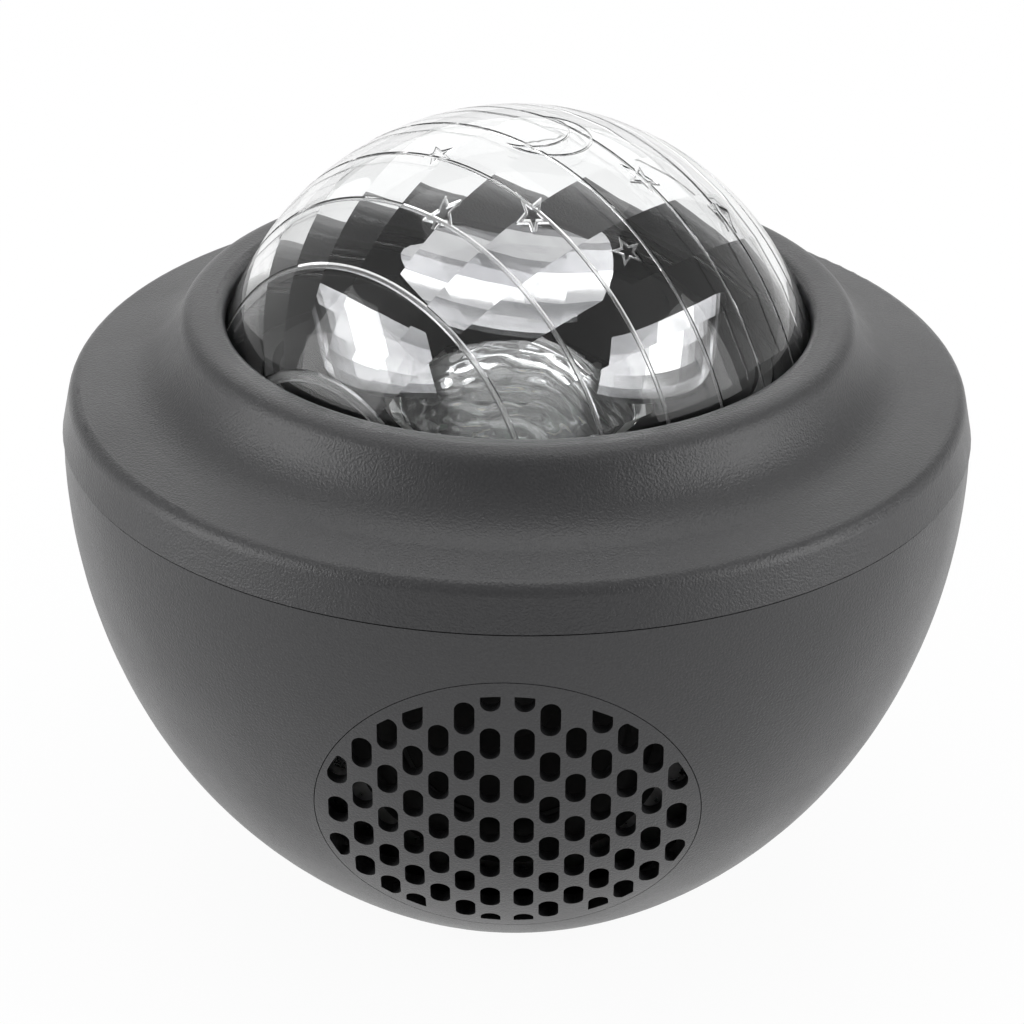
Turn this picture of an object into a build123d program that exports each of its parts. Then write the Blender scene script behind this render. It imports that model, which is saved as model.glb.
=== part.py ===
"""Night light projector: a bowl casing with a speaker, under a clear dome with a turning ripple lens.

Millimetres, +Z up, the speaker faces -Y. The origin is on the surface that the lamp stands on,
on the axis of the bowl.
"""

import math
import os

from build123d import *

# Casing outline
RIM_R = 78.9                 # widest radius, at the foot of the upper shell
LEDGE_W = 28.3               # from the rim in to the opening for the dome
SEAM_STEP = 0.2              # the upper shell overhangs the bowl by this much
SEAM_GAP = 0.3               # open line between the two shells
BOWL_H = 83.5                # bowl, from its flat base to the parting plane
BOWL_SIDE_R = 102.6          # arc of the bowl's section, from the parting plane down
BOWL_SIDE_SWEEP = 26.8       # angle of that arc, degrees
BASE_R = 33.0                # edge of the flat base, where a second arc of the section ends
WALL = 2.4                   # moulded wall of the casing
FLOOR = 3.0                  # thickness of the bowl's flat base
TONGUE_H = 3.0               # locating tongue of the bowl above the parting plane
TONGUE_T = 1.8               # its thickness
TONGUE_ROOT = 4.0            # how far it is carried down the bowl's wall
TONGUE_FIT = 0.3             # gap between the tongue and the upper shell

# Upper shell, heights above the parting plane
RIM_DRAFT = 1.4              # the rim wall leans in by this much
SHOULDER_H = 8.3             # top of the rim wall
SHOULDER_FILLET = 2.9
SLOPE_RISE = 3.9             # the top climbs by this much from the shoulder to the collar's foot
VALLEY_FILLET = 14.5         # hollow where the slope turns up into the collar
COLLAR_FLARE = 3.9           # the collar's outside leans out by this much at its foot
COLLAR_H = 22.6              # crest of the collar
COLLAR_W = 6.9               # width of the crest
COLLAR_DIP = 0.2             # the crest falls by this much towards the opening
COLLAR_FILLET = 4.2
LIP_FILLET = 2.0
LIP_DEPTH = 3.0              # depth of the opening's edge below the crest

# Dome
DOME_RISE = 33.2             # top of the dome above the collar's crest
DOME_GAP = 0.3               # gap between the dome and the opening's lower edge
DOME_WALL = 2.5
DOME_FLANGE_W = 4.0          # the flange reaches this far past the opening
DOME_FLANGE_T = 2.0
DOME_AXIS_TURN = 228.8       # plan direction of the axis that the lens bands run round, degrees
BAND_ANGLE = 12.0            # angle of one lens band about that axis
POLE_R = 10.0                # small flat inside the dome where the bands meet
LINE_PITCH = 11.05           # spacing of the engraved lines along that axis
LINE_OFFSET = 3.9            # first line, from the middle of the dome
LINE_W = 0.6
LINE_DEPTH = 0.3
STAR_R = 3.0
STAR_DEPTH = 0.24
STAR_WAIST = 0.42            # inner corners of a star, as a share of its radius
STAR_LINE_W = 0.4
STARS = (                    # plan direction, angle from the top, turn of a tip from the top, degrees
    (-119.8, 28.5, 180.0),
    (-84.1, 26.5, 180.0),
    (-55.2, 37.2, 0.0),
    (-23.4, 24.7, 150.0),
    (-153.9, 16.9, 0.0),
    (-9.3, 41.7, 120.0),
)
MOON_PLACE = (4.3, -1.4)     # plan place of the crescent
MOON_R = 7.9
MOON_BITE_R = 6.8            # circle that hollows the crescent
MOON_BITE_SHIFT = 3.45
MOON_TURN = 154.0            # plan direction that the crescent opens to, degrees
GASKET_T = 1.0
GASKET_W = 1.6
GASKET_SET = 1.6             # the gasket lies this far outside the opening

# Speaker grille
GRILLE_R = 32.4
GRILLE_Z = 43.2              # height of its middle, which is the speaker's axis
GRILLE_GAP = 0.15            # seam round the insert
GRILLE_FLANGE_W = 3.0        # its flange lies behind the bowl's wall
GRILLE_FLANGE_T = 1.6
GRILLE_FLANGE_GAP = 0.1
FIELD_HALF_W = 31.6          # half width of the slotted field
FIELD_HALF_H = 29.75         # half height of the slotted field
FIELD_OVERRUN = 1.05         # a slot is kept if its middle lies inside this share of the field
SLOT_W = 3.4
SLOT_L = 6.6
SLOT_COLUMNS = 7             # on each side of the middle
SLOT_PITCH_X = 4.25
SLOT_PITCH_Z = 10.0
SLOT_MIDDLE_GAP = 5.66       # between the two inner columns

# Feet and base screws
FOOT_DROP = 1.0              # how far the feet stand below the bowl
FOOT_R = 4.5
FOOT_RECESS = 1.2
FOOT_INSET = 7.5             # middle of a foot inside the edge of the base
FOOT_COUNT = 4
FOOT_START = 45.0
LEG_INSET = 9.0              # legs of the light deck, which the base screws hold
LEG_R = 3.5
LEG_ANGLES = (90.0, 185.0, 355.0)

# Fasteners
SCREW_R = 1.5
SCREW_HEAD_R = 2.75
SCREW_HEAD_H = 1.8
SCREW_BITE = 8.0             # length of thread in a boss
SMALL_SCREW_R = 1.0
SMALL_HEAD_R = 2.0
SMALL_HEAD_H = 1.3
SMALL_BITE = 4.0
PILOT_GAP = 0.05             # between a screw and its pilot hole
THROUGH_GAP = 0.3            # between a screw and a plain hole
BOSS_WALL = 2.1              # plastic round a screw

# Light deck and bezel
DECK_DROP = 2.0              # top of the deck below the parting plane
DECK_T = 2.0
DECK_EDGE_GAP = 5.4          # between the deck and the bowl's tongue
DECK_BOSS_INSET = 5.0        # the deck's screws lie this far inside its edge
DECK_SCREW_COUNT = 4
DECK_SCREW_START = 45.0
BEZEL_T = 2.0                # upright wall under the dome's flange
BEZEL_SHELF_DROP = 2.0       # shelf below the dome's flange
BEZEL_SHELF_T = 2.0
SHELF_W = 7.9                # the reflector's opening lies this far inside the dome's mouth
DISH_RIM_W = 2.0             # rim of the reflector on the shelf
DISH_T = 1.2
DISH_GAP = 0.5               # between the reflector and the parts beside it
PETALS = 12

# Turning ripple lens and its drive
GEAR_MODULE = 1.0
RING_TEETH = 52
PINION_TEETH = 12
GEAR_FACE = 3.4
ADDENDUM = 0.8               # in modules
DEDENDUM = 1.05              # in modules
PRESSURE_ANGLE = 25.0
BACKLASH = 0.15              # taken off each tooth at the pitch circle
FLANK_POINTS = 5
MOTOR_TURN = 135.0           # plan direction of the motor from the lamp's axis, degrees
BUSH_R = 20.0
BUSH_T = 1.5
BUSH_FLANGE_W = 3.0
BUSH_FLANGE_T = 0.6
RUN_GAP = 0.05               # running fit of the ring on its bush and of the shaft in the gearbox
END_GAP = 0.1                # running gap at a flat face
RIPPLE_RIM_W = 2.0
RIPPLE_RIM_H = 1.5
RIPPLE_RISE = 11.0
RIPPLE_T = 1.6
MOTOR_CAN_R = 7.75
MOTOR_CAN_L = 20.0
GEARBOX_R = 9.0
GEARBOX_L = 10.0
GEARBOX_EAR_T = 2.0
GEARBOX_EAR_REACH = 12.5     # screw to shaft
SHAFT_R = 1.0
NOSE_R = 3.0                 # gearbox nose that passes through the deck
NOSE_GAP = 0.2

# Light source
SINK_DROP = 6.1              # top of the heat sink below the deck
SINK_LEG_GAP = 2.0           # between the heat sink and the legs
SINK_BASE_T = 3.4
SINK_FIN_L = 9.0
SINK_FIN_T = 1.2
SINK_FIN_PITCH = 4.0
SINK_FINS = 9
SINK_SCREW_REACH = 22.5      # screw to the lamp's axis
SINK_SCREW_ANGLES = (20.0, 160.0)
LED_BOARD_T = 1.6
LED_BOARD_GAP = 0.3
LED_SIDE = 5.0
LED_H = 1.6
LED_COUNT = 4
LED_CIRCLE_R = 7.5
LED_LENS_R = 5.0
LED_LENS_FOOT_R = 3.0
LED_LENS_H = 8.0

# Speaker, axis along Y
SPEAKER_WALL_GAP = 2.6       # between the lower corners of its frame and the bowl
SPEAKER_SIDE = 64.0
SPEAKER_CORNER = 7.0
SPEAKER_PLATE_T = 1.4
SPEAKER_SCREW_REACH = 27.9   # screw to axis, along X and along Z
BASKET_R = 27.0              # opening of the frame
BASKET_BACK_R = 15.5
BASKET_DEPTH = 15.0
BASKET_T = 1.2
SURROUND_LIP_W = 2.4
SURROUND_T = 0.5
SURROUND_ROLL_R = 2.2
CONE_DEPTH = 9.0
CONE_T = 0.6
CONE_LIP_W = 1.2             # flat edge of the cone, where the soft ring is glued
CAP_R = 8.0
CAP_RISE = 3.0
COIL_R = 6.6
COIL_T = 0.6
COIL_L = 9.0
COIL_LAP = 0.4               # the coil reaches this far into the neck of the cone
COIL_GAP = 0.6               # between the coil and the steel on each side
TOP_PLATE_T = 2.5
MAGNET_R = 16.0
MAGNET_T = 6.5
MAGNET_RECESS = 1.3          # the magnet's bore is this much wider than the top plate's
POLE_PLATE_R = 14.5
POLE_PLATE_T = 2.5

# Controls and main board, at the back
BOARD_W = 64.0
BOARD_H = 32.0
BOARD_T = 1.6
BOARD_Z = 62.0               # middle of the board
BOARD_SCREW_INSET = 3.5
BUTTON_COUNT = 4
BUTTON_PITCH = 16.0
BUTTON_Z = 64.0
BUTTON_R = 4.5
BUTTON_GAP = 0.3             # round the button, and behind the wall
BUTTON_PROUD = 1.4
BUTTON_FLANGE_W = 0.9
BUTTON_FLANGE_T = 1.2
BUTTON_EDGE = 0.6
BUTTON_STEM_R = 2.2
BUTTON_STEM_L = 1.15         # shortest stem, on the outer buttons
KEY_SIDE = 6.0
KEY_H = 3.4
KEY_DEPTH = 2.6              # hole for the plunger
PLUNGER_R = 1.6
PLUNGER_GAP = 0.1
PLUNGER_LIFT = 1.2           # plunger above the switch at rest
PLUNGER_ROOT = 1.8           # plunger inside the switch at rest
INLET_Z = 52.0
INLET_W = 9.0
INLET_H = 3.4
INLET_WALL = 0.4
INLET_TONGUE_T = 0.8
INLET_SET_BACK = 1.2         # mouth behind the bowl's outer surface
INLET_GAP = 0.3
CHIP_SIZES = ((12.0, 12.0, 1.6), (7.0, 7.0, 1.4), (9.0, 5.0, 1.6))
CHIP_PLACES = ((-14.0, 4.0), (6.0, -6.0), (16.0, 6.0))
CAPACITOR_R = 3.2
CAPACITOR_L = 9.0
CAPACITOR_PLACES = ((-2.0, 8.0), (-22.0, -8.0), (20.0, -7.0))
BUTTON_NAMES = ("light", "colour", "music", "timer")

# Heights and radii that follow from the above
PART_Z = FOOT_DROP + BOWL_H
BASE_Z = FOOT_DROP
FLOOR_Z = BASE_Z + FLOOR
BOWL_R = RIM_R - SEAM_STEP
SIDE_TURN = math.radians(BOWL_SIDE_SWEEP)
SIDE_CENTRE = (BOWL_R - BOWL_SIDE_R, PART_Z)
HEEL_RUN = SIDE_CENTRE[0] + BOWL_SIDE_R * math.cos(SIDE_TURN) - BASE_R
HEEL_FALL = SIDE_CENTRE[1] - BOWL_SIDE_R * math.sin(SIDE_TURN) - BASE_Z
HEEL_BULGE = HEEL_RUN * math.cos(SIDE_TURN) - HEEL_FALL * math.sin(SIDE_TURN)
HEEL_R = (HEEL_RUN**2 + HEEL_FALL**2) / (2 * HEEL_BULGE)
HEEL_CENTRE = (
    SIDE_CENTRE[0] + (BOWL_SIDE_R - HEEL_R) * math.cos(SIDE_TURN),
    SIDE_CENTRE[1] - (BOWL_SIDE_R - HEEL_R) * math.sin(SIDE_TURN),
)
LIP_R = RIM_R - LEDGE_W
FOOT_CIRCLE_R = BASE_R - FOOT_INSET
LEG_CIRCLE_R = BASE_R - LEG_INSET
SINK_R = LEG_CIRCLE_R - LEG_R - SINK_LEG_GAP
CREST_Z = PART_Z + COLLAR_H
LIP_LOW_Z = CREST_Z - LIP_DEPTH
DOME_TOP_Z = CREST_Z + DOME_RISE
DOME_CAP_H = DOME_TOP_Z - LIP_LOW_Z
DOME_MOUTH_R = LIP_R - DOME_GAP
DOME_R = (DOME_CAP_H**2 + DOME_MOUTH_R**2) / (2 * DOME_CAP_H)
DOME_Z = DOME_TOP_Z - DOME_R
DOME_FLANGE_TOP = LIP_LOW_Z - 2 * DOME_FLANGE_T
DOME_FLANGE_LOW = DOME_FLANGE_TOP - DOME_FLANGE_T
DOME_FLANGE_R = LIP_R + DOME_FLANGE_W
TONGUE_OUT = RIM_R - WALL - TONGUE_FIT - RIM_DRAFT * TONGUE_H / SHOULDER_H
TONGUE_IN = TONGUE_OUT - TONGUE_T
DECK_TOP = PART_Z - DECK_DROP
DECK_LOW = DECK_TOP - DECK_T
DECK_R = TONGUE_IN - DECK_EDGE_GAP
DECK_BOSS_R = DECK_R - DECK_BOSS_INSET
BOSS_R = SCREW_R + BOSS_WALL
SMALL_BOSS_R = SMALL_SCREW_R + BOSS_WALL
RING_PITCH_R = GEAR_MODULE * RING_TEETH / 2
PINION_PITCH_R = GEAR_MODULE * PINION_TEETH / 2
MOTOR_REACH = RING_PITCH_R + PINION_PITCH_R
MOTOR_X = MOTOR_REACH * math.cos(math.radians(MOTOR_TURN))
MOTOR_Y = MOTOR_REACH * math.sin(math.radians(MOTOR_TURN))
GEAR_Z = DECK_TOP + BUSH_FLANGE_T + END_GAP
GEAR_TOP = GEAR_Z + GEAR_FACE
BUSH_BORE_R = BUSH_R - BUSH_T
LIGHT_BORE_R = BUSH_BORE_R - 2 * BUSH_T
RIPPLE_R = BUSH_R + RUN_GAP + RIPPLE_RIM_W
RIPPLE_TOP = GEAR_TOP + RIPPLE_RIM_H
SHELF_Z = DOME_FLANGE_LOW - BEZEL_SHELF_DROP
DISH_R = DOME_MOUTH_R - SHELF_W
SINK_TOP = DECK_LOW - SINK_DROP
LED_BOARD_TOP = SINK_TOP + LED_BOARD_T
LED_TOP = LED_BOARD_TOP + LED_H
BUTTON_FLANGE_R = BUTTON_R + BUTTON_GAP + BUTTON_FLANGE_W


def polar(radius, angle):
    """Plan point at a radius and an angle in degrees."""
    turn = math.radians(angle)
    return (radius * math.cos(turn), radius * math.sin(turn))


def bowl_radius(height, inset):
    """Radius of the bowl at a height, on the surface that lies inset inside its outer one."""
    side_drop = (BOWL_SIDE_R - inset) * math.sin(SIDE_TURN)
    if PART_Z - height <= side_drop:
        centre, arc_r = SIDE_CENTRE, BOWL_SIDE_R - inset
    else:
        centre, arc_r = HEEL_CENTRE, HEEL_R - inset
    return centre[0] + math.sqrt(arc_r**2 - (height - centre[1]) ** 2)


def bowl_depth(across, height, inset):
    """Distance from the lamp's axis plane to that surface, at a place across and a height."""
    return math.sqrt(bowl_radius(height, inset)**2 - across**2)


def bowl_body(inset, floor_z):
    """Solid bowl bounded by the surface that lies inset inside the outer one."""
    heel_r = HEEL_R - inset
    end_angle = math.degrees(math.asin((floor_z - HEEL_CENTRE[1]) / heel_r))
    with BuildPart() as body:
        with BuildSketch(Plane.XZ):
            with BuildLine():
                heel = CenterArc(HEEL_CENTRE, heel_r, end_angle, -BOWL_SIDE_SWEEP - end_angle)
                side = CenterArc(SIDE_CENTRE, BOWL_SIDE_R - inset, -BOWL_SIDE_SWEEP, BOWL_SIDE_SWEEP)
                Polyline(side @ 1, (0, PART_Z), (0, floor_z), heel @ 0)
            make_face()
        revolve(axis=Axis.Z)
    return body.part


def button_seat(across):
    """Place behind the back wall where the flange of a button ends."""
    far_edge = abs(across) + BUTTON_FLANGE_R
    return bowl_depth(far_edge, BUTTON_Z - BUTTON_FLANGE_R, WALL) - BUTTON_GAP


def mitre(before, corner, after, gap):
    """Corner of the line that runs a gap inside two straight runs of an outline."""
    first = (Vector(corner) - Vector(before)).normalized()
    second = (Vector(after) - Vector(corner)).normalized()
    first_in = Vector(-first.Y, first.X)
    second_in = Vector(-second.Y, second.X)
    shift = (first_in + second_in) * (gap / (1 + first_in.dot(second_in)))
    inner = Vector(corner) + shift
    return (inner.X, inner.Y)


def ring(inner_r, outer_r, low, high):
    """Plain ring about the lamp's axis."""
    with BuildPart() as body:
        with BuildSketch(Plane.XY.offset(low)):
            Circle(outer_r)
            Circle(inner_r, mode=Mode.SUBTRACT)
        extrude(amount=high - low)
    return body.part


def screw(plane, length, shank_r, head_r, head_h):
    """Pan head screw; the plane lies under the head, with its normal along the shank."""
    with BuildPart() as body:
        with BuildSketch(plane):
            Circle(shank_r)
        extrude(amount=length)
        with BuildSketch(plane):
            Circle(head_r)
        extrude(amount=-head_h)
        head_edge = body.edges().filter_by(GeomType.CIRCLE).sort_by(SortBy.RADIUS)[-2:]
        fillet(head_edge.sort_by(Axis(plane.origin, plane.z_dir))[0], head_h / 3)
        slot_plane = plane.offset(-head_h)
        with BuildSketch(slot_plane):
            Rectangle(head_r, head_r / 4)
            Rectangle(head_r / 4, head_r)
        extrude(amount=head_h / 2, mode=Mode.SUBTRACT)
    return body.part


def star_corners(radius):
    """Corners of a five-pointed star with a tip on the local X axis."""
    return [polar(radius if step % 2 == 0 else radius * STAR_WAIST, 36 * step) for step in range(10)]


def crescent(inset):
    """Crescent that lies inset inside the outline of the one on the dome."""
    shift_x, shift_y = polar(MOON_BITE_SHIFT, MOON_TURN)
    with BuildSketch() as shape:
        with Locations(MOON_PLACE):
            Circle(MOON_R - inset)
        with Locations((MOON_PLACE[0] + shift_x, MOON_PLACE[1] + shift_y)):
            Circle(MOON_BITE_R + inset, mode=Mode.SUBTRACT)
    return shape.sketch


def gear_tooth(teeth):
    """One involute tooth, centred on the local X axis."""
    pitch_r = GEAR_MODULE * teeth / 2
    base_r = pitch_r * math.cos(math.radians(PRESSURE_ANGLE))
    tip_r = pitch_r + ADDENDUM * GEAR_MODULE
    root_r = pitch_r - DEDENDUM * GEAR_MODULE
    start_r = max(base_r, root_r)

    def involute(angle):
        return math.tan(angle) - angle

    half_pitch = math.pi / (2 * teeth) - BACKLASH / (2 * pitch_r)
    pitch_involute = involute(math.radians(PRESSURE_ANGLE))
    flank = []
    for step in range(FLANK_POINTS):
        radius = start_r + (tip_r - start_r) * step / (FLANK_POINTS - 1)
        half = half_pitch + pitch_involute - involute(math.acos(min(1.0, base_r / radius)))
        flank.append((radius * math.cos(half), radius * math.sin(half)))
    mirrored = [(x, -y) for x, y in flank]
    foot_r = root_r - DEDENDUM * GEAR_MODULE / 2
    foot_angle = math.degrees(math.atan2(flank[0][1], flank[0][0]))
    with BuildSketch() as tooth:
        with BuildLine():
            Polyline(polar(foot_r, -foot_angle), mirrored[0])
            Spline(*mirrored)
            ThreePointArc(mirrored[-1], (tip_r, 0), flank[-1])
            Spline(*flank[::-1])
            Polyline(flank[0], polar(foot_r, foot_angle), polar(foot_r, -foot_angle))
        make_face()
    return tooth.sketch


def gear_blank(teeth, first_angle, plane):
    """Toothed disc with a tooth centred on the first angle."""
    root_r = GEAR_MODULE * teeth / 2 - DEDENDUM * GEAR_MODULE
    tooth = gear_tooth(teeth)
    with BuildPart() as body:
        with BuildSketch(plane):
            Circle(root_r)
            with PolarLocations(0, teeth, start_angle=first_angle):
                add(tooth)
        extrude(amount=GEAR_FACE)
    return body.part


def save(part, name):
    """Label a finished piece and write it."""
    part.label = name
    export_step(part, f"parts/{name}.step")


def save_group(pieces, name):
    """Write like pieces as one node of separate solids."""
    group = Compound(children=list(pieces))
    group.label = name
    export_step(group, f"parts/{name}.step")


os.makedirs("parts", exist_ok=True)

# Places that follow from the bowl's wall: the speaker behind its front, the board behind its back
corner_reach = SPEAKER_SIDE / 2 - SPEAKER_CORNER * (1 - math.sqrt(0.5))
SPEAKER_Y = SPEAKER_WALL_GAP - bowl_depth(corner_reach, GRILLE_Z - corner_reach, WALL)
button_across = [(index - (BUTTON_COUNT - 1) / 2) * BUTTON_PITCH for index in range(BUTTON_COUNT)]
PLUNGER_TIP = button_seat(button_across[-1]) - BUTTON_FLANGE_T - BUTTON_STEM_L
KEY_TOP = PLUNGER_TIP - PLUNGER_LIFT
BOARD_BACK = KEY_TOP - KEY_H
BOARD_Y = BOARD_BACK - BOARD_T

# Bodies that the casing, the grille and the bosses are cut from
bowl_outer = bowl_body(0, BASE_Z)
bowl_inner = bowl_body(WALL, FLOOR_Z)
bowl_mid = bowl_body(WALL / 2, FLOOR_Z - FLOOR / 2)

# Places of the fasteners
leg_places = [polar(LEG_CIRCLE_R, angle) for angle in LEG_ANGLES]
speaker_screw_places = [
    (sx * SPEAKER_SCREW_REACH, GRILLE_Z + sz * SPEAKER_SCREW_REACH) for sx in (-1, 1) for sz in (-1, 1)
]
board_screw_places = [
    (sx * (BOARD_W / 2 - BOARD_SCREW_INSET), BOARD_Z + sz * (BOARD_H / 2 - BOARD_SCREW_INSET))
    for sx in (-1, 1)
    for sz in (-1, 1)
]
back_plane = Plane(origin=(0, 0, 0), x_dir=(-1, 0, 0), z_dir=(0, 1, 0))

# Bosses on the inside of the bowl: four for the speaker, four for the board
with BuildPart() as bowl_bosses:
    with BuildSketch(Plane.XZ.offset(-SPEAKER_Y)):
        with Locations(*speaker_screw_places):
            Circle(SMALL_BOSS_R)
    extrude(amount=RIM_R)
    with BuildSketch(back_plane.offset(BOARD_BACK)):
        with Locations(*board_screw_places):
            Circle(SMALL_BOSS_R)
    extrude(amount=RIM_R)
    add(bowl_mid, mode=Mode.INTERSECT)
    with BuildSketch(Plane.XZ.offset(-SPEAKER_Y)):
        with Locations(*speaker_screw_places):
            Circle(SMALL_SCREW_R + PILOT_GAP)
    extrude(amount=SMALL_BITE, mode=Mode.SUBTRACT)
    with BuildSketch(back_plane.offset(BOARD_BACK)):
        with Locations(*board_screw_places):
            Circle(SMALL_SCREW_R + PILOT_GAP)
    extrude(amount=SMALL_BITE, mode=Mode.SUBTRACT)

# Lower shell
with BuildPart() as lower_shell:
    add(bowl_outer)
    add(bowl_inner, mode=Mode.SUBTRACT)
    add(ring(TONGUE_IN, TONGUE_OUT, PART_Z - TONGUE_ROOT, PART_Z + TONGUE_H))
    add(ring(TONGUE_IN, BOWL_R - WALL / 2, PART_Z - TONGUE_ROOT, PART_Z))
    with BuildSketch(Plane.XZ):
        with Locations((0, GRILLE_Z)):
            Circle(GRILLE_R + GRILLE_GAP)
    extrude(amount=RIM_R, mode=Mode.SUBTRACT)
    add(bowl_bosses.part)
    with BuildSketch(back_plane.offset(BOARD_BACK)):
        with Locations(*[(x, BUTTON_Z) for x in button_across]):
            Circle(BUTTON_R + BUTTON_GAP)
        with Locations((0, INLET_Z)):
            SlotOverall(INLET_W + 2 * INLET_GAP, INLET_H + 2 * INLET_GAP)
    extrude(amount=RIM_R, mode=Mode.SUBTRACT)
    with BuildSketch(Plane.XY.offset(BASE_Z)):
        with PolarLocations(FOOT_CIRCLE_R, FOOT_COUNT, start_angle=FOOT_START):
            Circle(FOOT_R)
    extrude(amount=FOOT_RECESS, mode=Mode.SUBTRACT)
    with BuildSketch(Plane.XY.offset(BASE_Z)):
        with Locations(*leg_places):
            Circle(SCREW_R + THROUGH_GAP)
    extrude(amount=FLOOR, mode=Mode.SUBTRACT)
    with BuildSketch(Plane.XY.offset(BASE_Z)):
        with Locations(*leg_places):
            Circle(SCREW_HEAD_R + THROUGH_GAP)
    extrude(amount=SCREW_HEAD_H, mode=Mode.SUBTRACT)
save(lower_shell.part, "lower_shell")

# Section of the upper shell, corner by corner, from the parting plane to the opening
foot_corner = (RIM_R, PART_Z + SEAM_GAP)
shoulder_corner = (RIM_R - RIM_DRAFT, PART_Z + SHOULDER_H)
collar_r = LIP_R + COLLAR_W
valley_corner = (collar_r + COLLAR_FLARE, PART_Z + SHOULDER_H + SLOPE_RISE)
crest_corner = (collar_r, CREST_Z)
lip_corner = (LIP_R, CREST_Z - COLLAR_DIP)
lip_low_corner = (LIP_R, LIP_LOW_Z)
inner_foot = (RIM_R - WALL, PART_Z + SEAM_GAP)
inner_shoulder = mitre(foot_corner, shoulder_corner, valley_corner, WALL)
inner_valley = mitre(shoulder_corner, valley_corner, crest_corner, WALL)
collar_lean = COLLAR_FLARE / (crest_corner[1] - valley_corner[1])
inner_collar = (inner_valley[0] - collar_lean * (LIP_LOW_Z - inner_valley[1]), LIP_LOW_Z)
outer_corners = (foot_corner, shoulder_corner, valley_corner, crest_corner, lip_corner, lip_low_corner)
outer_fillets = (SHOULDER_FILLET, VALLEY_FILLET, COLLAR_FILLET, LIP_FILLET)
inner_corners = (lip_low_corner, inner_collar, inner_valley, inner_shoulder, inner_foot)
inner_fillets = (WALL / 4, VALLEY_FILLET + WALL, SHOULDER_FILLET - WALL)

# Upper shell, with the seat of the gasket and the bosses of the deck's screws
with BuildPart() as deck_bosses:
    with BuildSketch(Plane.XY.offset(DECK_TOP)):
        with PolarLocations(DECK_BOSS_R, DECK_SCREW_COUNT, start_angle=DECK_SCREW_START):
            Circle(BOSS_R)
    extrude(amount=CREST_Z - DECK_TOP)
    with BuildSketch(Plane.XZ):
        with BuildLine():
            Polyline(
                (0, 0),
                (inner_foot[0], 0),
                mitre(foot_corner, shoulder_corner, valley_corner, WALL / 2),
                mitre(shoulder_corner, valley_corner, crest_corner, WALL / 2),
                (0, valley_corner[1]),
                close=True,
            )
        make_face()
    revolve(axis=Axis.Z, mode=Mode.INTERSECT)
    with BuildSketch(Plane.XY.offset(DECK_TOP)):
        with PolarLocations(DECK_BOSS_R, DECK_SCREW_COUNT, start_angle=DECK_SCREW_START):
            Circle(SCREW_R + PILOT_GAP)
    extrude(amount=SCREW_BITE, mode=Mode.SUBTRACT)

with BuildPart() as upper_shell:
    with BuildSketch(Plane.XZ):
        with BuildLine():
            FilletPolyline(*outer_corners, radius=outer_fillets)
            FilletPolyline(*inner_corners, radius=inner_fillets)
            Line(inner_foot, foot_corner)
        make_face()
    revolve(axis=Axis.Z)
    add(
        ring(
            LIP_R + GASKET_SET,
            LIP_R + GASKET_SET + GASKET_W,
            DOME_FLANGE_TOP + GASKET_T,
            LIP_LOW_Z + LIP_DEPTH / 4,
        )
    )
    add(deck_bosses.part)
save(upper_shell.part, "upper_shell")

# Dome: a sphere outside, flat-sided lens bands inside that run from pole to pole of a level axis
dome_axis = Vector(*polar(1, DOME_AXIS_TURN))
dome_place = Plane(origin=(0, 0, DOME_Z), x_dir=(0, 0, -1), z_dir=dome_axis)
band_apothem = DOME_R - DOME_WALL
band_count = round(180 / BAND_ANGLE)
pole_reach = math.sqrt(band_apothem**2 - POLE_R**2)
with BuildPart() as dome_hollow:
    with BuildSketch(dome_place):
        Circle(2 * DOME_R)
    extrude(amount=pole_reach, both=True)
    for band in range(band_count):
        turn = math.radians(band * BAND_ANGLE)
        level = Vector(-dome_axis.Y, dome_axis.X, 0)
        across = level * math.cos(turn) + Vector(0, 0, math.sin(turn))
        with BuildSketch(Plane(origin=(0, 0, DOME_Z), x_dir=dome_axis, z_dir=across)):
            Circle(band_apothem)
        extrude(amount=3 * DOME_R, both=True, mode=Mode.INTERSECT)

star_edge = star_corners(STAR_R)
star_edge_l = math.dist(star_edge[0], star_edge[1])
star_reach = STAR_R**2 * STAR_WAIST * math.sin(math.radians(36)) / star_edge_l
star_inner_r = STAR_R * (1 - STAR_LINE_W / star_reach)

# Engraved on the dome: lines across the bands, star outlines and the outline of a crescent
with BuildPart() as dome_lines:
    line_reach = int(DOME_R / LINE_PITCH)
    for step in range(-line_reach - 1, line_reach + 1):
        place = LINE_OFFSET + step * LINE_PITCH
        if abs(place) < DOME_R - LINE_PITCH / 4:
            line_middle = Vector(0, 0, DOME_Z) + dome_axis * place
            with BuildSketch(Plane(origin=line_middle, x_dir=(0, 0, 1), z_dir=dome_axis)):
                Circle(DOME_R)
            extrude(amount=LINE_W / 2, both=True)
    with Locations(dome_place):
        Sphere(DOME_R - LINE_DEPTH, mode=Mode.SUBTRACT)
    with BuildSketch(Plane.XY.offset(LIP_LOW_Z)):
        Rectangle(4 * DOME_R, 4 * DOME_R)
    extrude(amount=2 * DOME_R, mode=Mode.INTERSECT)

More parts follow.
